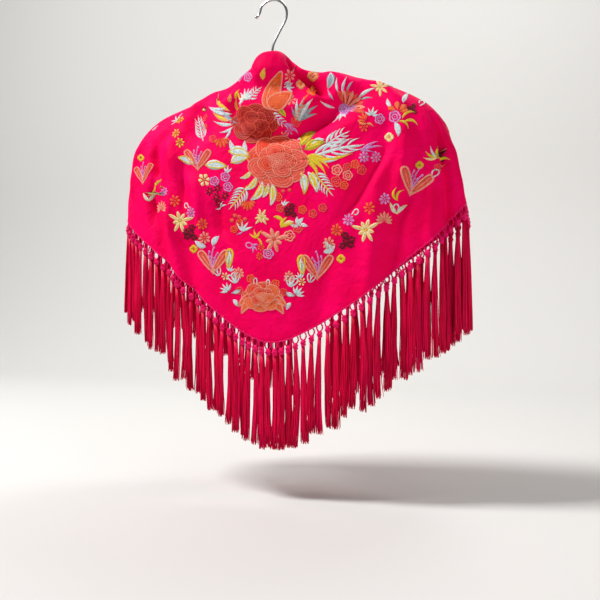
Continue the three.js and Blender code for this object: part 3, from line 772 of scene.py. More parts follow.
def turned(strokes, degrees, shift=(0, 0)):
    """Strokes turned anticlockwise and moved."""
    a = math.radians(degrees)
    spin = np.array([[math.cos(a), math.sin(a)], [-math.sin(a), math.cos(a)]])
    return [(silk, path @ spin + np.array(shift), half, height)
            for silk, path, half, height in strokes]


def mirrored(strokes):
    """Strokes with left and right exchanged."""
    return [(silk, path * [-1, 1], half, height) for silk, path, half, height in strokes]


def daisy(size, silk="coral", heart="apricot", petals=8, half=0.0):
    """Narrow petals round a small heart."""
    half = half or size * 0.21
    out = []
    for i in range(petals):
        petal = stroke(silk, (size * 0.22, 0), (size * (1 + 0.08 * (i % 3 - 1)), 0), half, 0,
                       "drop", 0.5, 7)
        out += turned(petal, 360 * i / petals + 8)
    return out + bead(heart, size * 0.16, size * 0.17, 0.7)


def loop_flower(size, silk="cream", petals=7, heart="yellow"):
    """Wide petals with a fine line down each, longer to one side."""
    out = []
    for i in range(petals):
        long = size * (1 + 0.3 * math.cos(i * 2.3))
        petal = stroke(silk, (size * 0.12, 0), (long, 0), size * 0.17, 0, "oval", 0.55, 9)
        petal += stroke("apricot", (size * 0.3, 0), (long * 0.8, 0), size * 0.035, 0, "line",
                        0.75, 5)
        out += turned(petal, 360 * i / petals + 15)
    return out + bead(heart, size * 0.12, size * 0.13, 0.8)


def rosette(size, silk="rose_coral", heart="apricot"):
    """A small round flower: a scalloped outline, an inner ring and a knot in the middle."""
    return (ring(silk, round_path(size, 21, 5, 0.22), size * 0.16, 0.5)
            + ring(silk, round_path(size * 0.5, 13), size * 0.13, 0.5)
            + bead(heart, size * 0.12, size * 0.14, 0.6))


def square_knot(size, silk="cream", heart="apricot"):
    """A small four-cornered knot flower."""
    return (ring(silk, round_path(size * 0.85, 17, 4, 0.35), size * 0.42, 0.6)
            + bead(heart, size * 0.3, size * 0.3, 0.8))


def leaf(size, silk="pale_blue", edge="yellow", wide=0.24, bend=0.12):
    """A leaf of two bands that meet at a vein, with a coloured line along its edges."""
    out = stroke(silk, (0, 0), (size, 0), size * wide * 0.62, bend + 0.05, "leaf", 0.5)
    out += stroke(silk, (0, 0), (size * 0.96, -size * 0.02), size * wide * 0.5, bend - 0.1,
                  "leaf", 0.45)
    if edge:
        out += stroke(edge, (0, 0), (size * 1.04, 0), size * 0.05, bend + wide * 0.42, "line", 0.6)
        out += stroke(edge, (0, 0), (size * 1.04, 0), size * 0.045, bend - wide * 0.5, "line", 0.6)
    return out


def blade(size, silk="yellow", wide=0.12, bend=0.15):
    """A narrow curved leaf in one band."""
    return stroke(silk, (0, 0), (size, 0), size * wide, bend, "leaf", 0.5)


def fern(size, silk="pale_blue", pairs=6, wide=0.13, bend=0.06, spread=42, reach=0.3,
         stem="pale_blue"):
    """A stem with pairs of narrow leaves that grow shorter towards the tip."""
    out = stroke(stem, (0, 0), (size, 0), size * 0.028, bend, "line", 0.4)
    for i in range(pairs):
        t = 0.12 + 0.8 * i / pairs
        at = (size * t, size * bend * 4 * t * (1 - t))
        long = size * reach * (1 - 0.55 * t)
        for side in (-1, 1):
            out += turned(stroke(silk, (0, 0), (long, 0), long * wide, 0.12 * side, "leaf", 0.45, 7),
                          spread * side, at)
    return out + turned(stroke(silk, (0, 0), (size * 0.2, 0), size * 0.2 * wide, 0, "leaf", 0.5, 7),
                        0, (size * 0.9, 0))


def fan(size, silk="orange", count=7, spread=140, tip="drop"):
    """Bands that open like a fan from one point."""
    out = []
    for i in range(count):
        angle = (i / (count - 1) - 0.5) * spread
        long = size * (1 - 0.18 * abs(angle) / 70)
        out += turned(stroke(silk, (size * 0.1, 0), (long, 0), size * 0.12, 0, tip, 0.5, 7), angle)
    return out


def paired_bells(size):
    """Two long outlined petals in a V with lilac stamens between, on a knotted claret foot."""
    out = []
    for side in (-1, 1):
        at = turned(stroke("coral", (0, size * 0.06), (0, size * 0.95), size * 0.13, 0, "blunt",
                           0.45, 11), -34 * side)
        t = np.linspace(0, 2 * np.pi, 25)
        round_in = np.sign(np.sin(t)) * np.abs(np.sin(t)) ** 0.55
        edge = np.stack([size * 0.13 * round_in * (1 - 0.3 * np.cos(t)),
                         size * (0.52 - 0.47 * np.cos(t))], 1)
        at += turned(ring("rose_coral", edge, size * 0.038, 0.7), -34 * side)
        at += turned(stroke("rose_coral", (0, size * 0.2), (0, size * 0.8), size * 0.02, 0, "line",
                            0.7, 5), -34 * side)
        out += at
    for angle, long in ((-14, 0.8), (-2, 1.02), (11, 0.86)):
        out += turned(stroke("lilac", (0, 0), (0, size * long), size * 0.028, 0.08, "line", 0.5),
                      angle)
        out += turned(stroke("lilac", (0, size * (long - 0.1)), (0, size * (long + 0.02)),
                             size * 0.045, 0, "oval", 0.6, 5), angle)
    for i in range(3):
        for side in (-1, 1):
            out += turned(stroke("lilac", (0, 0), (size * 0.16, 0), size * 0.022, 0, "line", 0.5, 5),
                          90 + side * 50, (side * 0.01, size * (0.25 + 0.14 * i)))
    for side in (-1, 1):
        out += stroke("claret", (0, size * 0.04), (side * size * 0.22, size * 0.1), size * 0.07,
                      0.1 * side, "leaf", 0.4, 7)
        out += stroke("rose_coral", (side * size * 0.02, 0), (side * size * 0.1, -size * 0.02),
                      size * 0.05, 0, "oval", 0.6, 5)
    return out + stroke("rose_coral", (0, size * 0.1), (0, -size * 0.12), size * 0.04, 0, "line",
                        0.6, 5)


def claret_cluster(size, count=5):
    """A bunch of very small dark flowers, each full petals round a dark knot."""
    out = []
    for i in range(count):
        at = (size * 0.62 * math.cos(i * 2.4 + 0.5) * (i > 0), size * 0.62
              * math.sin(i * 2.4 + 0.5) * (i > 0))
        out += turned(daisy(size * 0.42, "claret", "brick", 6, size * 0.15), 20 * i, at)
    return out


def rose(size, body="coral", line="rose_coral", patch="scarlet", lobes=8, tall=0.86):
    """A full rose on a padded ground: an outer and an inner round of petals that overlap by
    turns, each filled in contour bands and edged by two raised lines, with the patch silk at
    the upper left, and a coiled heart."""
    out = []
    for t in np.linspace(0.12, 0.92, max(4, int(size / 4))):
        out += ring(body, round_path(size * t, 33, 0, 0, (0, 0), 0, tall), size * 0.1, 0.4)
    for share, reach, count, level in ((0.66, 0.42, lobes, 0.0), (0.36, 0.33, lobes - 2, 0.75)):
        for i in range(count):
            a = 2 * math.pi * i / count + 2.2 * share
            middle = (size * share * math.cos(a), size * share * math.sin(a) * tall)
            rise = level + 0.4 * (i % 2)
            shaded = math.sin(a - 0.7) > 0.35 or (level > 0 and i % 3 == 0)
            radius = size * reach
            for t in (0.84, 0.56, 0.28, 0.06):
                path = round_path(radius * t, 17, 0, 0, middle, 0, tall)
                out += ring(patch if shaded else body, path, radius * 0.22, 0.5 + rise)
            for t, half in ((1.0, 0.58), (0.78, 0.3), (0.52, 0.26)):
                path = round_path(radius * t, 25, 3, 0.17, middle, a, tall)
                out += ring(line, path, half, 0.72 + rise)
    for i in range(4):
        t = 0.3 - 0.07 * i
        path = round_path(size * t, 25, 5, 0.1, (size * 0.02, 0), i, tall)
        out += ring(body, path, size * 0.06, 1.8) + ring(line, path, 0.34, 2.0)
    return out


def lobe_path(long, wide, lean):
    """A closed pointed lobe that leans to one side by the square of its height."""
    t = np.linspace(0, 2 * np.pi, 33)
    y = long * (0.5 - 0.5 * np.cos(t))
    x = wide * np.sin(t) * (1 + 0.35 * np.cos(t)) + lean * (y / long) ** 2
    return np.stack([x, y], 1)


def tulip(size):
    """Three pointed lobes from one foot: a small one at each side and a tall one that leans
    over to its tip. Each is filled in contour bands and drawn round with a thick pale line."""
    out = []
    foot = np.array([-size * 0.2, -size])
    for long, wide, lean, angle, rise in ((1.5, 0.4, -0.2, -20, 0.0), (1.95, 0.5, 0.95, 8, 0.3),
                                          (1.35, 0.46, 0.5, -34, 0.6)):
        shape = lobe_path(size * long, size * wide, size * lean)
        heart = shape.mean(0) * [0.9, 0.8]
        lobe = []
        for i in range(8):
            share = 1 - (i + 0.5) / 8
            lobe += ring("orange", heart + (shape - heart) * share, 1.1, 0.45 + rise + 0.03 * i)
        for share in (0.76, 0.5, 0.26):
            lobe += ring("scarlet", heart + (shape - heart) * share, 0.25, 0.78 + rise)
        lobe += ring("rose_coral", shape, 0.8, 0.85 + rise)
        out += turned(lobe, angle, foot)
    return out


def thistle(size):
    """Coral petals rising from a lilac ball, with claret lines."""
    out = []
    for i in range(9):
        angle = (i - 4) * 15
        out += turned(stroke("rose_coral" if i % 2 else "coral", (0, 0), (0, size), size * 0.13,
                             0.02 * (i - 4), "drop", 0.5), -angle)
    for i in range(5):
        out += turned(stroke("brick", (0, size * 0.3), (0, size * 0.75), size * 0.035, 0, "line",
                             0.85, 5), -(i - 2) * 22)
    for i in range(4):
        path = round_path(size * (0.25 - 0.06 * i), 17, 0, 0, (-size * 0.05, 0))
        out += ring("lilac", path, size * 0.045, 0.9)
        if i % 2:
            out += ring("claret", path, size * 0.012, 1.1)
    for i in range(4):
        out += stroke("lilac", (size * 0.1, size * 0.1 * i), (size * 0.4, size * (0.2 + 0.1 * i)),
                      size * 0.05, 0.1, "oval", 0.9, 5)
    return out


def dot(size, silk="cream"):
    """One small padded dot."""
    return bead(silk, size, size, 0.6, 7)


def curl(size, silk="pale_blue"):
    """A line that ends in an open curl."""
    a = np.linspace(0, 1.5 * np.pi, 17)
    r = size * 0.35
    path = np.stack([size * 0.55 + r * np.sin(a), r - r * np.cos(a)], 1)
    return (stroke(silk, (0, 0), (size * 0.55, 0), size * 0.07, 0, "line", 0.45)
            + ring(silk, path * [1, 0.8], size * 0.07, 0.45))


def lily_leaf(size):
    """A teardrop leaf: a pale middle, a yellow ring round it, and a green inner line."""
    t = np.linspace(0, 2 * np.pi, 25)
    wide = size * 0.17
    shape = np.stack([size * (0.5 - 0.5 * np.cos(t)), wide * np.sin(t) * (1 - 0.45 * np.cos(t))], 1)
    return (stroke("pale_blue", (size * 0.04, 0), (size * 0.94, 0), wide * 1.1, 0, "leaf", 0.5)
            + ring("yellow", shape, size * 0.06, 0.6)
            + stroke("leaf_green", (size * 0.15, 0), (size * 0.6, 0), size * 0.04, 0, "line", 0.8, 5))


def pale_loops(size, count=3, spread=60):
    """Open teardrop loops side by side."""
    out = []
    t = np.linspace(0, 2 * np.pi, 21)
    loop = np.stack([size * (0.55 - 0.45 * np.cos(t)), size * 0.17 * np.sin(t) * (1 - 0.4 * np.cos(t))],
                    1)
    for i in range(count):
        angle = (i - (count - 1) / 2) * spread / max(1, count - 1)
        out += turned(ring("pale_blue", loop, size * 0.06, 0.5), angle)
    return out


sewn = []


def sew(shape, x, y, degrees=0.0):
    """Notes a shape to be laid on the cloth where the eye sees that view step."""
    turn, down = spot_seen_at(x, y)
    sewn.append((turned(shape, degrees), (turn, down), drawing_frame(turn, down, True)))


def sew_at(shape, turn, down, degrees=0.0):
    """Notes a shape to be laid at a place of the cloth: on the fronts and over the shoulders."""
    sewn.append((turned(shape, degrees), (turn, down), drawing_frame(turn, down, False)))


# The bouquet at the neck.
# The small rose under the collar roll is sewn in brick, a darkened coral: painted shade for the shadow
# the roll casts on it.
sew(rose(22, "brick", "coral", "brick", 8, 0.84), 254, 124)
sew(tulip(17.5), 274, 91, 4)
sew(rose(28, "coral", "rose_coral", "scarlet", 9, 0.86), 277, 161)
sew(blade(20, "apricot", 0.1), 296, 122, 60)
for x, y, degrees, size in ((231, 163, 18, 19), (229, 152, -14, 21)):
    sew(leaf(size, "pale_blue", "yellow", 0.36), x, y, degrees)
sew(leaf(13, "pale_blue", "pale_blue"), 236, 152, 115)
sew(leaf(11, "pale_blue", "pale_blue"), 247, 152, 100)
for x, y, degrees, size in ((256, 176, 228, 17), (262, 181, 238, 21), (251, 170, 215, 13)):
    sew(leaf(size, "yellow", "pale_blue", 0.2, 0.2), x, y, degrees)
for x, y, degrees, size in ((272, 184, 266, 20), (268, 184, 248, 14)):
    sew(leaf(size, "yellow", "pale_blue", 0.2), x, y, degrees)
for x, y, degrees, size in ((300, 146, 42, 20), (305, 150, 20, 20)):
    sew(leaf(size, "yellow", "leaf_green", 0.3), x, y, degrees)
sew(leaf(13, "pale_blue", None, 0.26), 298, 140, 50)
sew(leaf(13, "pale_blue", None, 0.26), 312, 145, 25)
sew(fern(52, "pale_blue", 5, 0.06, 0.05, 20, 0.5), 308, 160, 15)
sew(fern(27, "pale_blue", 4, 0.09, 0.05, 30, 0.55), 324, 147, 32)
sew(blade(46, "yellow", 0.045, -0.06), 306, 160, 8)
for degrees, size in ((-3, 25), (-17, 27), (-33, 27), (-52, 24)):
    sew(blade(size, "yellow", 0.085, 0.2), 303, 160, degrees)
sew(leaf(20, "pale_blue", "yellow", 0.26), 301, 173, -82)
sew(leaf(20, "yellow", "pale_blue", 0.24), 308, 172, -66)
sew(fern(28, "pale_blue", 6, 0.09, 0.02, 42, 0.46, "yellow"), 312, 172, -48)
sew(fern(27, "pale_blue", 6, 0.09, 0.02, 42, 0.46, "yellow"), 247, 186, 232)
# Round the tulip and over the neck fold.
for x, y in ((240, 76), (245, 71), (248, 77)):
    sew(rosette(4.2, "lilac", "lilac"), x, y)
sew(fan(15, "pale_blue", 7, 150, "leaf"), 244, 101, 100)
sew(fan(8, "cream", 4, 70, "leaf"), 243, 100, 95)
sew(blade(12, "yellow", 0.14), 240, 100, 95)
sew(blade(11, "yellow", 0.14), 236, 100, 70)
sew(fern(17, "pale_blue", 4, 0.14, 0.1, 44, 0.45, "pale_blue"), 249, 100, 45)
sew(leaf(9, "apricot", "coral", 0.3), 230, 103, 80)
for x, y, degrees, size in ((230, 111, 133, 22), (233, 120, 160, 22), (238, 112, 98, 15)):
    sew(blade(size, "yellow", 0.1, 0.12), x, y, degrees)
    sew(blade(size, "apricot", 0.045, 0.2), x, y, degrees)
sew(blade(27, "grey_blue", 0.09, 0.1), 238, 124, 137)
sew(blade(25, "lilac", 0.03, 0.18), 238, 124, 137)
for x, y, degrees, size in ((232, 114, 165, 25), (234, 124, 172, 21), (233, 127, 202, 15),
                            (231, 128, 238, 14), (226, 108, 176, 18), (241, 111, 112, 14)):
    sew(blade(size, "pale_blue", 0.09, 0.1), x, y, degrees)
sew(leaf(11, "yellow", "apricot", 0.3), 263, 80, 80)
sew(daisy(6, "rose_coral", "coral", 7), 290, 76)
sew(daisy(6, "rose_coral", "apricot", 6), 291, 100)
sew(square_knot(4.6, "apricot", "rose_coral"), 313, 76)
sew(square_knot(4, "apricot", "orange"), 301, 84)
sew(curl(8, "pale_blue"), 284, 87, 10)
sew(fan(9, "pale_blue", 4, 100, "leaf"), 286, 88, 20)
sew(blade(30, "orange", 0.05, 0.12), 298, 118, 63)
sew(fan(11, "orange", 5, 60), 306, 92, 10)
for degrees, size in ((95, 22), (78, 24), (58, 26), (40, 24), (22, 20), (118, 16)):
    sew(blade(size, "pale_blue" if size % 4 else "grey_blue", 0.09, 0.06), 299, 121, degrees)
sew(rosette(4.5, "coral", "orange"), 296, 122)
sew(leaf(12, "leaf_green", "yellow", 0.3), 276, 108, -40)
sew(leaf(15, "grey_blue", "pale_blue", 0.42), 331, 73, -100)
for x, y, degrees in ((284, 124, -20), (286, 127, 10), (290, 128, -35)):
    sew(blade(10, "lilac", 0.14), x, y, degrees)
sew(fern(21, "pale_blue", 4, 0.13, 0.04, 40, 0.42, "lilac"), 269, 113, -36)
sew(daisy(4.5, "lilac", "lilac", 6), 289, 131)
sew(daisy(4.5, "rose_coral", "lilac", 6), 284, 136)
# The left shoulder.
sew(fern(31, "pale_blue", 6, 0.075, 0.02, 26, 0.46), 203, 141, 106)
for x, y in ((205, 118), (205, 127), (213, 139)):
    sew(rosette(3.4, "coral", "orange"), x, y)
sew(fan(11, "orange", 6, 130), 221, 138, -80)
for x, y in ((180, 120), (176, 133), (180, 143)):
    sew(daisy(5, "yellow", "leaf_green", 7), x, y)
for degrees in (120, 170, 215, 60):
    sew(blade(9, "pale_blue", 0.12), 178, 119, degrees)
sew(dot(1.6, "cream"), 204, 110)
sew(daisy(3.2, "claret", "claret", 6), 205, 109)
sew(curl(9, "pale_blue"), 158, 126, 150)
sew(paired_bells(22), 198, 168)
sew(leaf(17, "pale_blue", "yellow", 0.34, -0.05), 194, 164, 158)
sew(leaf(21, "pale_blue", "yellow", 0.3, 0.05), 205, 165, -4)
sew(paired_bells(22), 143, 182, 5)
sew(square_knot(2.8, "yellow", "orange"), 141, 158)
sew(leaf(8, "leaf_green", "yellow", 0.34), 156, 186, 60)
sew(blade(16, "yellow", 0.07, -0.2), 148, 196, 60)
for degrees, size in ((128, 10), (48, 12)):
    sew(leaf(size, "pale_blue", "cream", 0.17), 150, 201, degrees)
sew(daisy(5, "lilac", "lilac", 8), 164, 192)
sew(daisy(6.5, "cream", "leaf_green", 6, 1.9), 204, 180)
for x, y in ((215, 181), (225, 177), (228, 187)):
    sew(rosette(4.2, "lilac", "lilac"), x, y)
sew(fan(8, "pale_blue", 3, 70, "leaf"), 227, 173, 80)
for x, y in ((210, 191), (218, 188), (216, 197), (225, 196), (219, 203)):
    sew(daisy(4.4, "claret", "coral", 7), x, y)
for degrees in (20, 70, 200):
    sew(blade(6, "pale_blue", 0.14), 221, 207, degrees)
# The right shoulder.
sew(thistle(20), 345, 110, -38)
for degrees, x, y, size in ((95, 338, 92, 14), (75, 343, 93, 16), (58, 347, 92, 12), (155, 335, 108, 16),
                            (120, 334, 100, 12), (30, 358, 98, 20), (10, 360, 100, 12)):
    sew(blade(size, "pale_blue" if size > 13 else "grey_blue", 0.09, 0.08), x, y, degrees)
for degrees in (-68, -92, -118):
    sew(blade(16, "pale_blue", 0.12, 0.05), 341, 113, degrees)
sew(loop_flower(8, "cream", 7), 380, 87)
sew(fan(9, "orange", 5, 120), 366, 121, 150)
sew(fan(9, "pale_blue", 5, 140, "leaf"), 372, 116, 80)
sew(rosette(4.2, "lilac", "lilac"), 380, 119)
sew(daisy(4.6, "orange", "coral", 6), 364, 127)
for degrees in (-20, 160):
    sew(blade(8, "apricot", 0.14), 366, 124, degrees)
for degrees in (150, 95, 45, 10):
    sew(stroke("orange", (2, 0), (11, 0), 3, 0.0, "drop"), 398, 112, degrees)
sew(rosette(5, "lilac", "lilac"), 395, 117)
for x, y, degrees, size in ((391, 107, 110, 10), (403, 103, 60, 11), (395, 122, -75, 14)):
    sew(leaf(size, "pale_blue", None, 0.24), x, y, degrees)
sew(claret_cluster(5.5, 4), 413, 109)
for x, y, degrees, size in ((402, 119, 25, 14), (404, 122, -15, 14), (398, 121, -35, 12)):
    sew(blade(size, "yellow", 0.1, 0.25), x, y, degrees)
sew(curl(9, "pale_blue"), 420, 106, 35)
sew(square_knot(3.4, "cream", "apricot"), 389, 137)
for degrees, size in ((12, 22), (28, 20), (-6, 14)):
    sew(blade(size, "lilac", 0.06, 0.08), 360, 151, degrees)
for x, y in ((364, 157), (376, 157)):
    sew(daisy(5.4, "lilac", "pale_blue", 8), x, y)
for x, y, size, silk in ((337, 170, 4.6, "rose_coral"), (347, 167, 3.4, "coral"),
                         (355, 164, 3.6, "orange"), (348, 175, 4.2, "rose_coral"),
                         (362, 170, 4, "coral"), (336, 182, 4.6, "coral"), (344, 185, 3.6, "orange")):
    sew(rosette(size, silk, "apricot"), x, y)
sew(paired_bells(26), 411, 193, -18)
sew(square_knot(3, "yellow", "leaf_green"), 419, 165)
sew(curl(10, "pale_blue"), 432, 178, 30)
for degrees, silk in ((150, "yellow"), (120, "pale_blue"), (80, "yellow"), (45, "apricot"),
                      (178, "cream"), (-8, "yellow")):
    sew(blade(13, silk, 0.1, 0.1), 437, 158, degrees)
sew(claret_cluster(5.5, 4), 440, 157)
sew(rosette(3.4, "coral", "orange"), 438, 168)
sew(daisy(5.6, "lilac", "lilac", 8), 385, 199)
for degrees, size in ((60, 12), (95, 13)):
    sew(blade(size, "yellow", 0.1, 0.3), 398, 201, degrees)
for degrees, size in ((122, 12), (42, 12)):
    sew(leaf(size, "pale_blue", "cream", 0.15), 397, 214, degrees)
sew(curl(9, "pale_blue"), 397, 213, 75)
# The spray above the point.
sew(fan(10, "orange", 7, 150), 248, 201, -90)
sew(loop_flower(7, "cream", 9, "yellow"), 262, 218, 90)
for x, y in ((235, 216), (240, 217), (245, 219), (232, 220)):
    sew(dot(2.2, "coral"), x, y, 30)
for x, y in ((239, 223), (234, 229)):
    sew(rosette(3.2, "orange", "coral"), x, y)
for degrees in (60, 92, 124, 25):
    sew(blade(11, "pale_blue", 0.11, 0.05), 243, 232, degrees)
sew(blade(7, "lilac", 0.12, 0.05), 243, 232, 205)
for x, y in ((285, 186), (283, 191), (289, 190)):
    sew(dot(1.9, "coral"), x, y)
for x, y, silk in ((278, 197, "orange"), (303, 210, "orange"), (313, 214, "coral"),
                   (323, 208, "coral"), (280, 208, "coral")):
    sew(rosette(3.6, silk, "apricot"), x, y)
for degrees in (80, 120, 40):
    sew(blade(6, "pale_blue", 0.16), 285, 206, degrees)
sew(claret_cluster(7.5, 5), 291, 211)
for x, y, degrees, size in ((273, 217, -30, 12), (281, 228, 60, 12), (281, 228, 15, 13)):
    sew(blade(size, "yellow", 0.16, 0.15), x, y, degrees)
sew(blade(10, "cream", 0.18, 0.1), 285, 224, 10)
sew(rosette(4.4, "coral", "rose_coral"), 298, 228)
for degrees in (60, 100, -5, 170):
    sew(leaf(9, "pale_blue", None, 0.24), 299, 226, degrees)
for degrees in (60, 110, 150, -60):
    sew(blade(9, "yellow", 0.12, 0.1), 258, 238, degrees)
sew(loop_flower(12, "rose_coral", 8, "coral"), 274, 239)
sew(rosette(4.8, "rose_coral", "coral"), 289, 236)
sew(curl(9, "lilac"), 254, 246, 150)
for degrees in (-40, 10, -80):
    sew(blade(7, "lilac", 0.14, 0.1), 252, 246, degrees)
for x, y in ((262, 247), (259, 256)):
    sew(daisy(3.8, "orange", "coral", 7), x, y)
sew(rosette(4.6, "lilac", "pale_blue"), 269, 254)
# The garland: the same flowers up each side from the rose at the point.
GARLAND = (  # left x, left y, right x, right y, shape, degrees on the left
    (180, 221, 366, 230, loop_flower(11, "cream", 8, "yellow"), 0),
    (191, 213, 348, 220, daisy(6, "lilac", "lilac", 8), 0),
    (189, 208, 352, 215, curl(8, "pale_blue"), 120),
    (202, 224, 337, 230, daisy(6, "orange", "coral", 8), 0),
    (161, 210, 384, 222, fan(10, "rose_coral", 9, 200), 90),
    (175, 201, 369, 208, daisy(6, "orange", "coral", 7), 0),
    (191, 233, 346, 241, claret_cluster(9, 5), 0),
    (205, 238, 329, 244, daisy(6.4, "rose_coral", "orange", 8), 0),
    (206, 247, 323, 252, leaf(13, "pale_blue", None, 0.3), 150),
    (213, 246, 331, 252, leaf(12, "pale_blue", None, 0.3), 55),
    (194, 249, 341, 259, square_knot(3.2, "yellow", "orange"), 0),
    (213, 271, 317, 277, paired_bells(25), 0),
    (229, 267, 302, 274, lily_leaf(18), 86),
    (230, 272, 300, 279, fan(7, "pale_blue", 4, 90, "leaf"), 80),
    (225, 276, 302, 282, daisy(4, "cream", "leaf_green", 6), 0),
    (239, 273, 289, 277, daisy(5.8, "rose_coral", "coral", 9), 0),
    (219, 276, 309, 283, pale_loops(9, 2, 40), 110),
    (236, 284, 290, 287, pale_loops(11, 3, 55), 105),
    (229, 292, 296, 295, fan(10, "pale_blue", 5, 110, "leaf"), 130),
    (240, 290, 286, 292, leaf(9, "pale_blue", "grey_blue", 0.3), 200),
    (233, 300, 291, 303, leaf(8, "pale_blue", None, 0.36), 300),
    (256, 287, 269, 289, pale_loops(9, 1), 90),
    (251, 279, 275, 284, rosette(3.6, "orange", "apricot"), 0),
    (239, 291, 284, 292, rosette(3.4, "coral", "orange"), 0),
)
for left_x, left_y, right_x, right_y, shape, degrees in GARLAND:
    sew(shape, left_x, left_y, degrees)
    sew(mirrored(shape), right_x, right_y, -degrees)
sew(rose(18.5, "orange", "rose_coral", "scarlet", 8, 0.74), 263, 297)
for degrees, bend in ((196, -0.2), (214, -0.2), (-34, 0.2), (-16, 0.2)):
    sew(leaf(24, "orange", "rose_coral", 0.34, bend), 262, 300, degrees)

# The fronts and the sides, placed by half turns from the back centre and share down.
FRONT_FLOWERS = (
    (paired_bells(26), 0.6, 0.52, 0), (loop_flower(11, "cream", 8, "yellow"), 0.7, 0.62, 0),
    (daisy(7, "orange", "coral", 8), 0.76, 0.7, 0), (claret_cluster(9, 5), 0.66, 0.7, 0),
    (paired_bells(25), 0.82, 0.74, 10), (daisy(6.4, "rose_coral", "orange", 8), 0.74, 0.55, 0),
    (rosette(4.6, "lilac", "pale_blue"), 0.8, 0.62, 0), (lily_leaf(17), 0.87, 0.66, 80),
    (rose(17, "orange", "rose_coral", "scarlet", 8, 0.84), 0.88, 0.8, 0),
    (rose(20, "coral", "rose_coral", "scarlet", 9, 0.86), 0.84, 0.5, 0),
    (fern(30, "pale_blue", 7, 0.13, 0.04, 40, 0.4), 0.9, 0.56, 250),
    (leaf(17, "pale_blue", "yellow", 0.26), 0.78, 0.48, 160),
    (leaf(17, "yellow", "leaf_green", 0.28), 0.8, 0.42, 120),
    (leaf(16, "pale_blue", "yellow", 0.26), 0.89, 0.42, 60),
    (daisy(6, "lilac", "lilac", 8), 0.68, 0.42, 0), (daisy(5, "yellow", "leaf_green", 7), 0.6, 0.4, 0),
    (fan(10, "rose_coral", 9, 200), 0.56, 0.68, 90), (square_knot(3.4, "cream", "apricot"), 0.62, 0.6, 0),
    (curl(9, "pale_blue"), 0.72, 0.74, 60), (daisy(6, "orange", "coral", 7), 0.52, 0.6, 0),
    (pale_loops(11, 3, 55), 0.8, 0.84, 70), (daisy(5.4, "lilac", "lilac", 8), 0.54, 0.46, 0),
    (rosette(4, "coral", "orange"), 0.5, 0.34, 0), (blade(14, "pale_blue", 0.12), 0.52, 0.26, 60),
    (daisy(6, "rose_coral", "coral", 8), 0.74, 0.33, 0), (rosette(4.2, "lilac", "lilac"), 0.82, 0.32, 0),
    (thistle(17), 0.86, 0.2, 0), (leaf(13, "pale_blue", "yellow", 0.26), 0.66, 0.2, 60),
)
for shape, turn, down, degrees in FRONT_FLOWERS:
    sew_at(shape, turn, down, degrees)
    sew_at(mirrored(shape), -turn, down, -degrees)


def band_mesh(silk):
    """All bands of one silk as one mesh: a six-sided section, domed above and just proud of the
    cloth's other face below, is carried along each path square to it in the drawing, laid on
    the cloth, and closed at both ends. Bands with equally many stations are done together."""
    parts = []
    groups = {}
    for motif, (strokes, _, _) in enumerate(sewn):
        for colour, path, half, height in strokes:
            if colour == silk:
                groups.setdefault(len(path), []).append((path, half, height, motif))
    for stations, bands in groups.items():
        path, half, tall, motif = (np.array(values) for values in zip(*bands))
        closed = np.linalg.norm(path[:, 0] - path[:, -1], axis=1) < 1e-6
        tangent = np.gradient(path, axis=1)
        seam = path[:, 1] - path[:, -2]
        tangent[closed, 0] = seam[closed]
        tangent[closed, -1] = seam[closed]
        tangent /= np.maximum(np.linalg.norm(tangent, axis=-1, keepdims=True), 1e-9)
        aside = np.stack([tangent[..., 1], -tangent[..., 0]], -1)
        flat = (path[:, :, None] + aside[:, :, None] * (np.cos(BAND_ANGLES)[:, None]
                * half[:, :, None, None])) * STEP_MM
        deep = np.where(np.sin(BAND_ANGLES) > 0, tall[:, :, None], REVERSE_DEPTH)
        rise = STITCH_LIFT + np.sin(BAND_ANGLES) * deep
        ends = path[:, [0, -1]] * STEP_MM
        flat = np.concatenate([flat.reshape(len(bands), -1, 2), ends], 1)
        rise = np.concatenate([rise.reshape(len(bands), -1),
                               np.full((len(bands), 2), STITCH_LIFT)], 1)
        block = flat.shape[1]
        start = np.array([sewn[m][1] for m in motif])
        frames = np.array([sewn[m][2] for m in motif])
        points = lay_on_cloth(np.repeat(start, block, 0), np.repeat(frames, block, 0),
                              flat.reshape(-1, 2), rise.reshape(-1))
        parts.append((points, tube_faces(len(bands), stations, len(BAND_ANGLES))))
    return join_parts(parts)


for silk_name, (light, dark) in SILKS.items():
    thread, tree, shader = new_finish(silk_name + "_silk", Roughness=0.45,
                                      Specular_IOR_Level=0.25)
    shade = texture(tree, "TexNoise", Scale=420.0, Detail=2.0)
    stitchwork = texture(tree, "TexWave", Scale=620.0, Distortion=3.0, Detail=1.0)
    two_tones(tree, shade, dark, light, shader.inputs["Base Color"], (0.3, 0.6))
    bump_from(tree, shader, stitchwork, 0.00025)
    points, faces = band_mesh(silk_name)
    make_piece("stitching_" + silk_name, points, faces, thread)

# The studio. A sheet of pale paper lies on the floor and curves up into the backdrop. Four soft
# square lights stand round it, and the camera looks at the shawl's back as in the photograph.
FLOOR_Z = -0.62
PAPER_FRONT = -2.5
PAPER_BENDS = 1.1
PAPER_RADIUS = 0.7
PAPER_BACK = 1.8
PAPER_UPRIGHT = (1.0, 3.2)
PAPER_WIDE = 4.0
PAPER_TONE = (0.64, 0.63, 0.61, 1)
AIR_TONE = (1.0, 0.99, 0.97, 1)
AIR_STRENGTH = 0.16
LENS = 48
SENSOR = 36
bend = np.linspace(0.1, 1, 9) * np.pi / 2
sweep_y = np.concatenate([np.linspace(PAPER_FRONT, PAPER_BENDS, 8),
                          PAPER_BENDS + PAPER_RADIUS * np.sin(bend), np.full(6, PAPER_BACK)])
sweep_z = np.concatenate([np.zeros(8), PAPER_RADIUS * (1 - np.cos(bend)),
                          np.linspace(*PAPER_UPRIGHT, 6)]) + FLOOR_Z
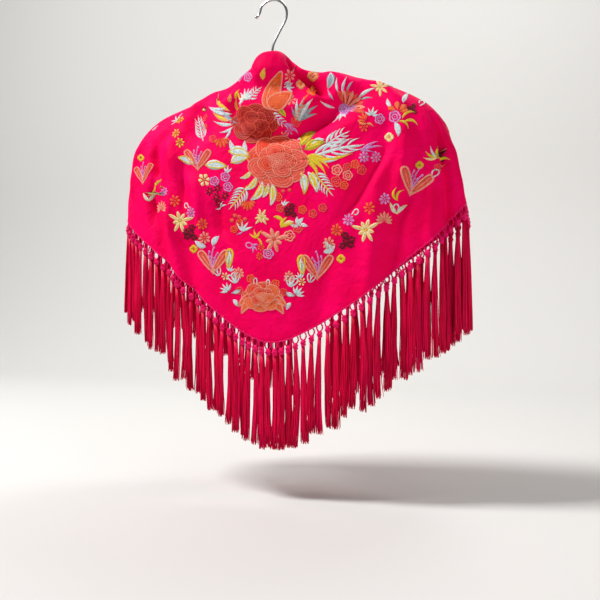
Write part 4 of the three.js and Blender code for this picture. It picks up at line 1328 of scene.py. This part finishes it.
sweep_x = np.array([-PAPER_WIDE, PAPER_WIDE])
points = np.stack([np.repeat(sweep_x, len(sweep_y)), np.tile(sweep_y, 2), np.tile(sweep_z, 2)], 1)
mesh = bpy.data.meshes.new("studio_sweep")
mesh.from_pydata(points.tolist(), [], grid_quads(2, len(sweep_y), flip=True).tolist())
mesh.polygons.foreach_set("use_smooth", np.ones(len(mesh.polygons), bool))
sweep = bpy.data.objects.new("studio_sweep", mesh)
bpy.context.scene.collection.objects.link(sweep)
paper, tree, shader = new_finish("pale_paper", Base_Color=PAPER_TONE, Roughness=0.9)
mesh.materials.append(paper)
sweep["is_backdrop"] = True

world = bpy.data.worlds.new("studio_air")
bpy.context.scene.world = world
world.use_nodes = True
air = world.node_tree.nodes["Background"]
air.inputs["Color"].default_value = AIR_TONE
air.inputs["Strength"].default_value = AIR_STRENGTH


def soft_light(name, place, aim, size, power):
    """A square area light at a place, aimed at a point."""
    lamp = bpy.data.lights.new(name, "AREA")
    lamp.size, lamp.energy = size, power
    thing = bpy.data.objects.new(name, lamp)
    bpy.context.scene.collection.objects.link(thing)
    thing.location = place
    direction = Vector(aim) - Vector(place)
    thing.rotation_euler = direction.to_track_quat("-Z", "Y").to_euler()


soft_light("window_light", (-1.6, -0.8, 1.9), (0, 0, -0.25), 0.7, 108)
soft_light("fill_light", (1.8, -1.3, 0.1), (0, 0, -0.3), 1.4, 16)
soft_light("front_light", (0.3, 1.2, 1.3), (0, 0, -0.3), 0.8, 12)
soft_light("backdrop_light", (0, 0.5, 2.2), (0, 1.7, -0.2), 1.6, 5)

camera_data = bpy.data.cameras.new("back_view")
camera_data.lens, camera_data.sensor_width = LENS, SENSOR
camera = bpy.data.objects.new("back_view", camera_data)
bpy.context.scene.collection.objects.link(camera)
camera.location = EYE / 1000
camera.rotation_euler = (math.radians(90), 0, VIEW_TURN)
bpy.context.scene.camera = camera
bpy.context.scene.view_settings.view_transform = "Standard"

size = {"cad": [list(map(float, corner)) for corner in cad_box],
        "visual": [list(map(float, corner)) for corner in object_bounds()]}
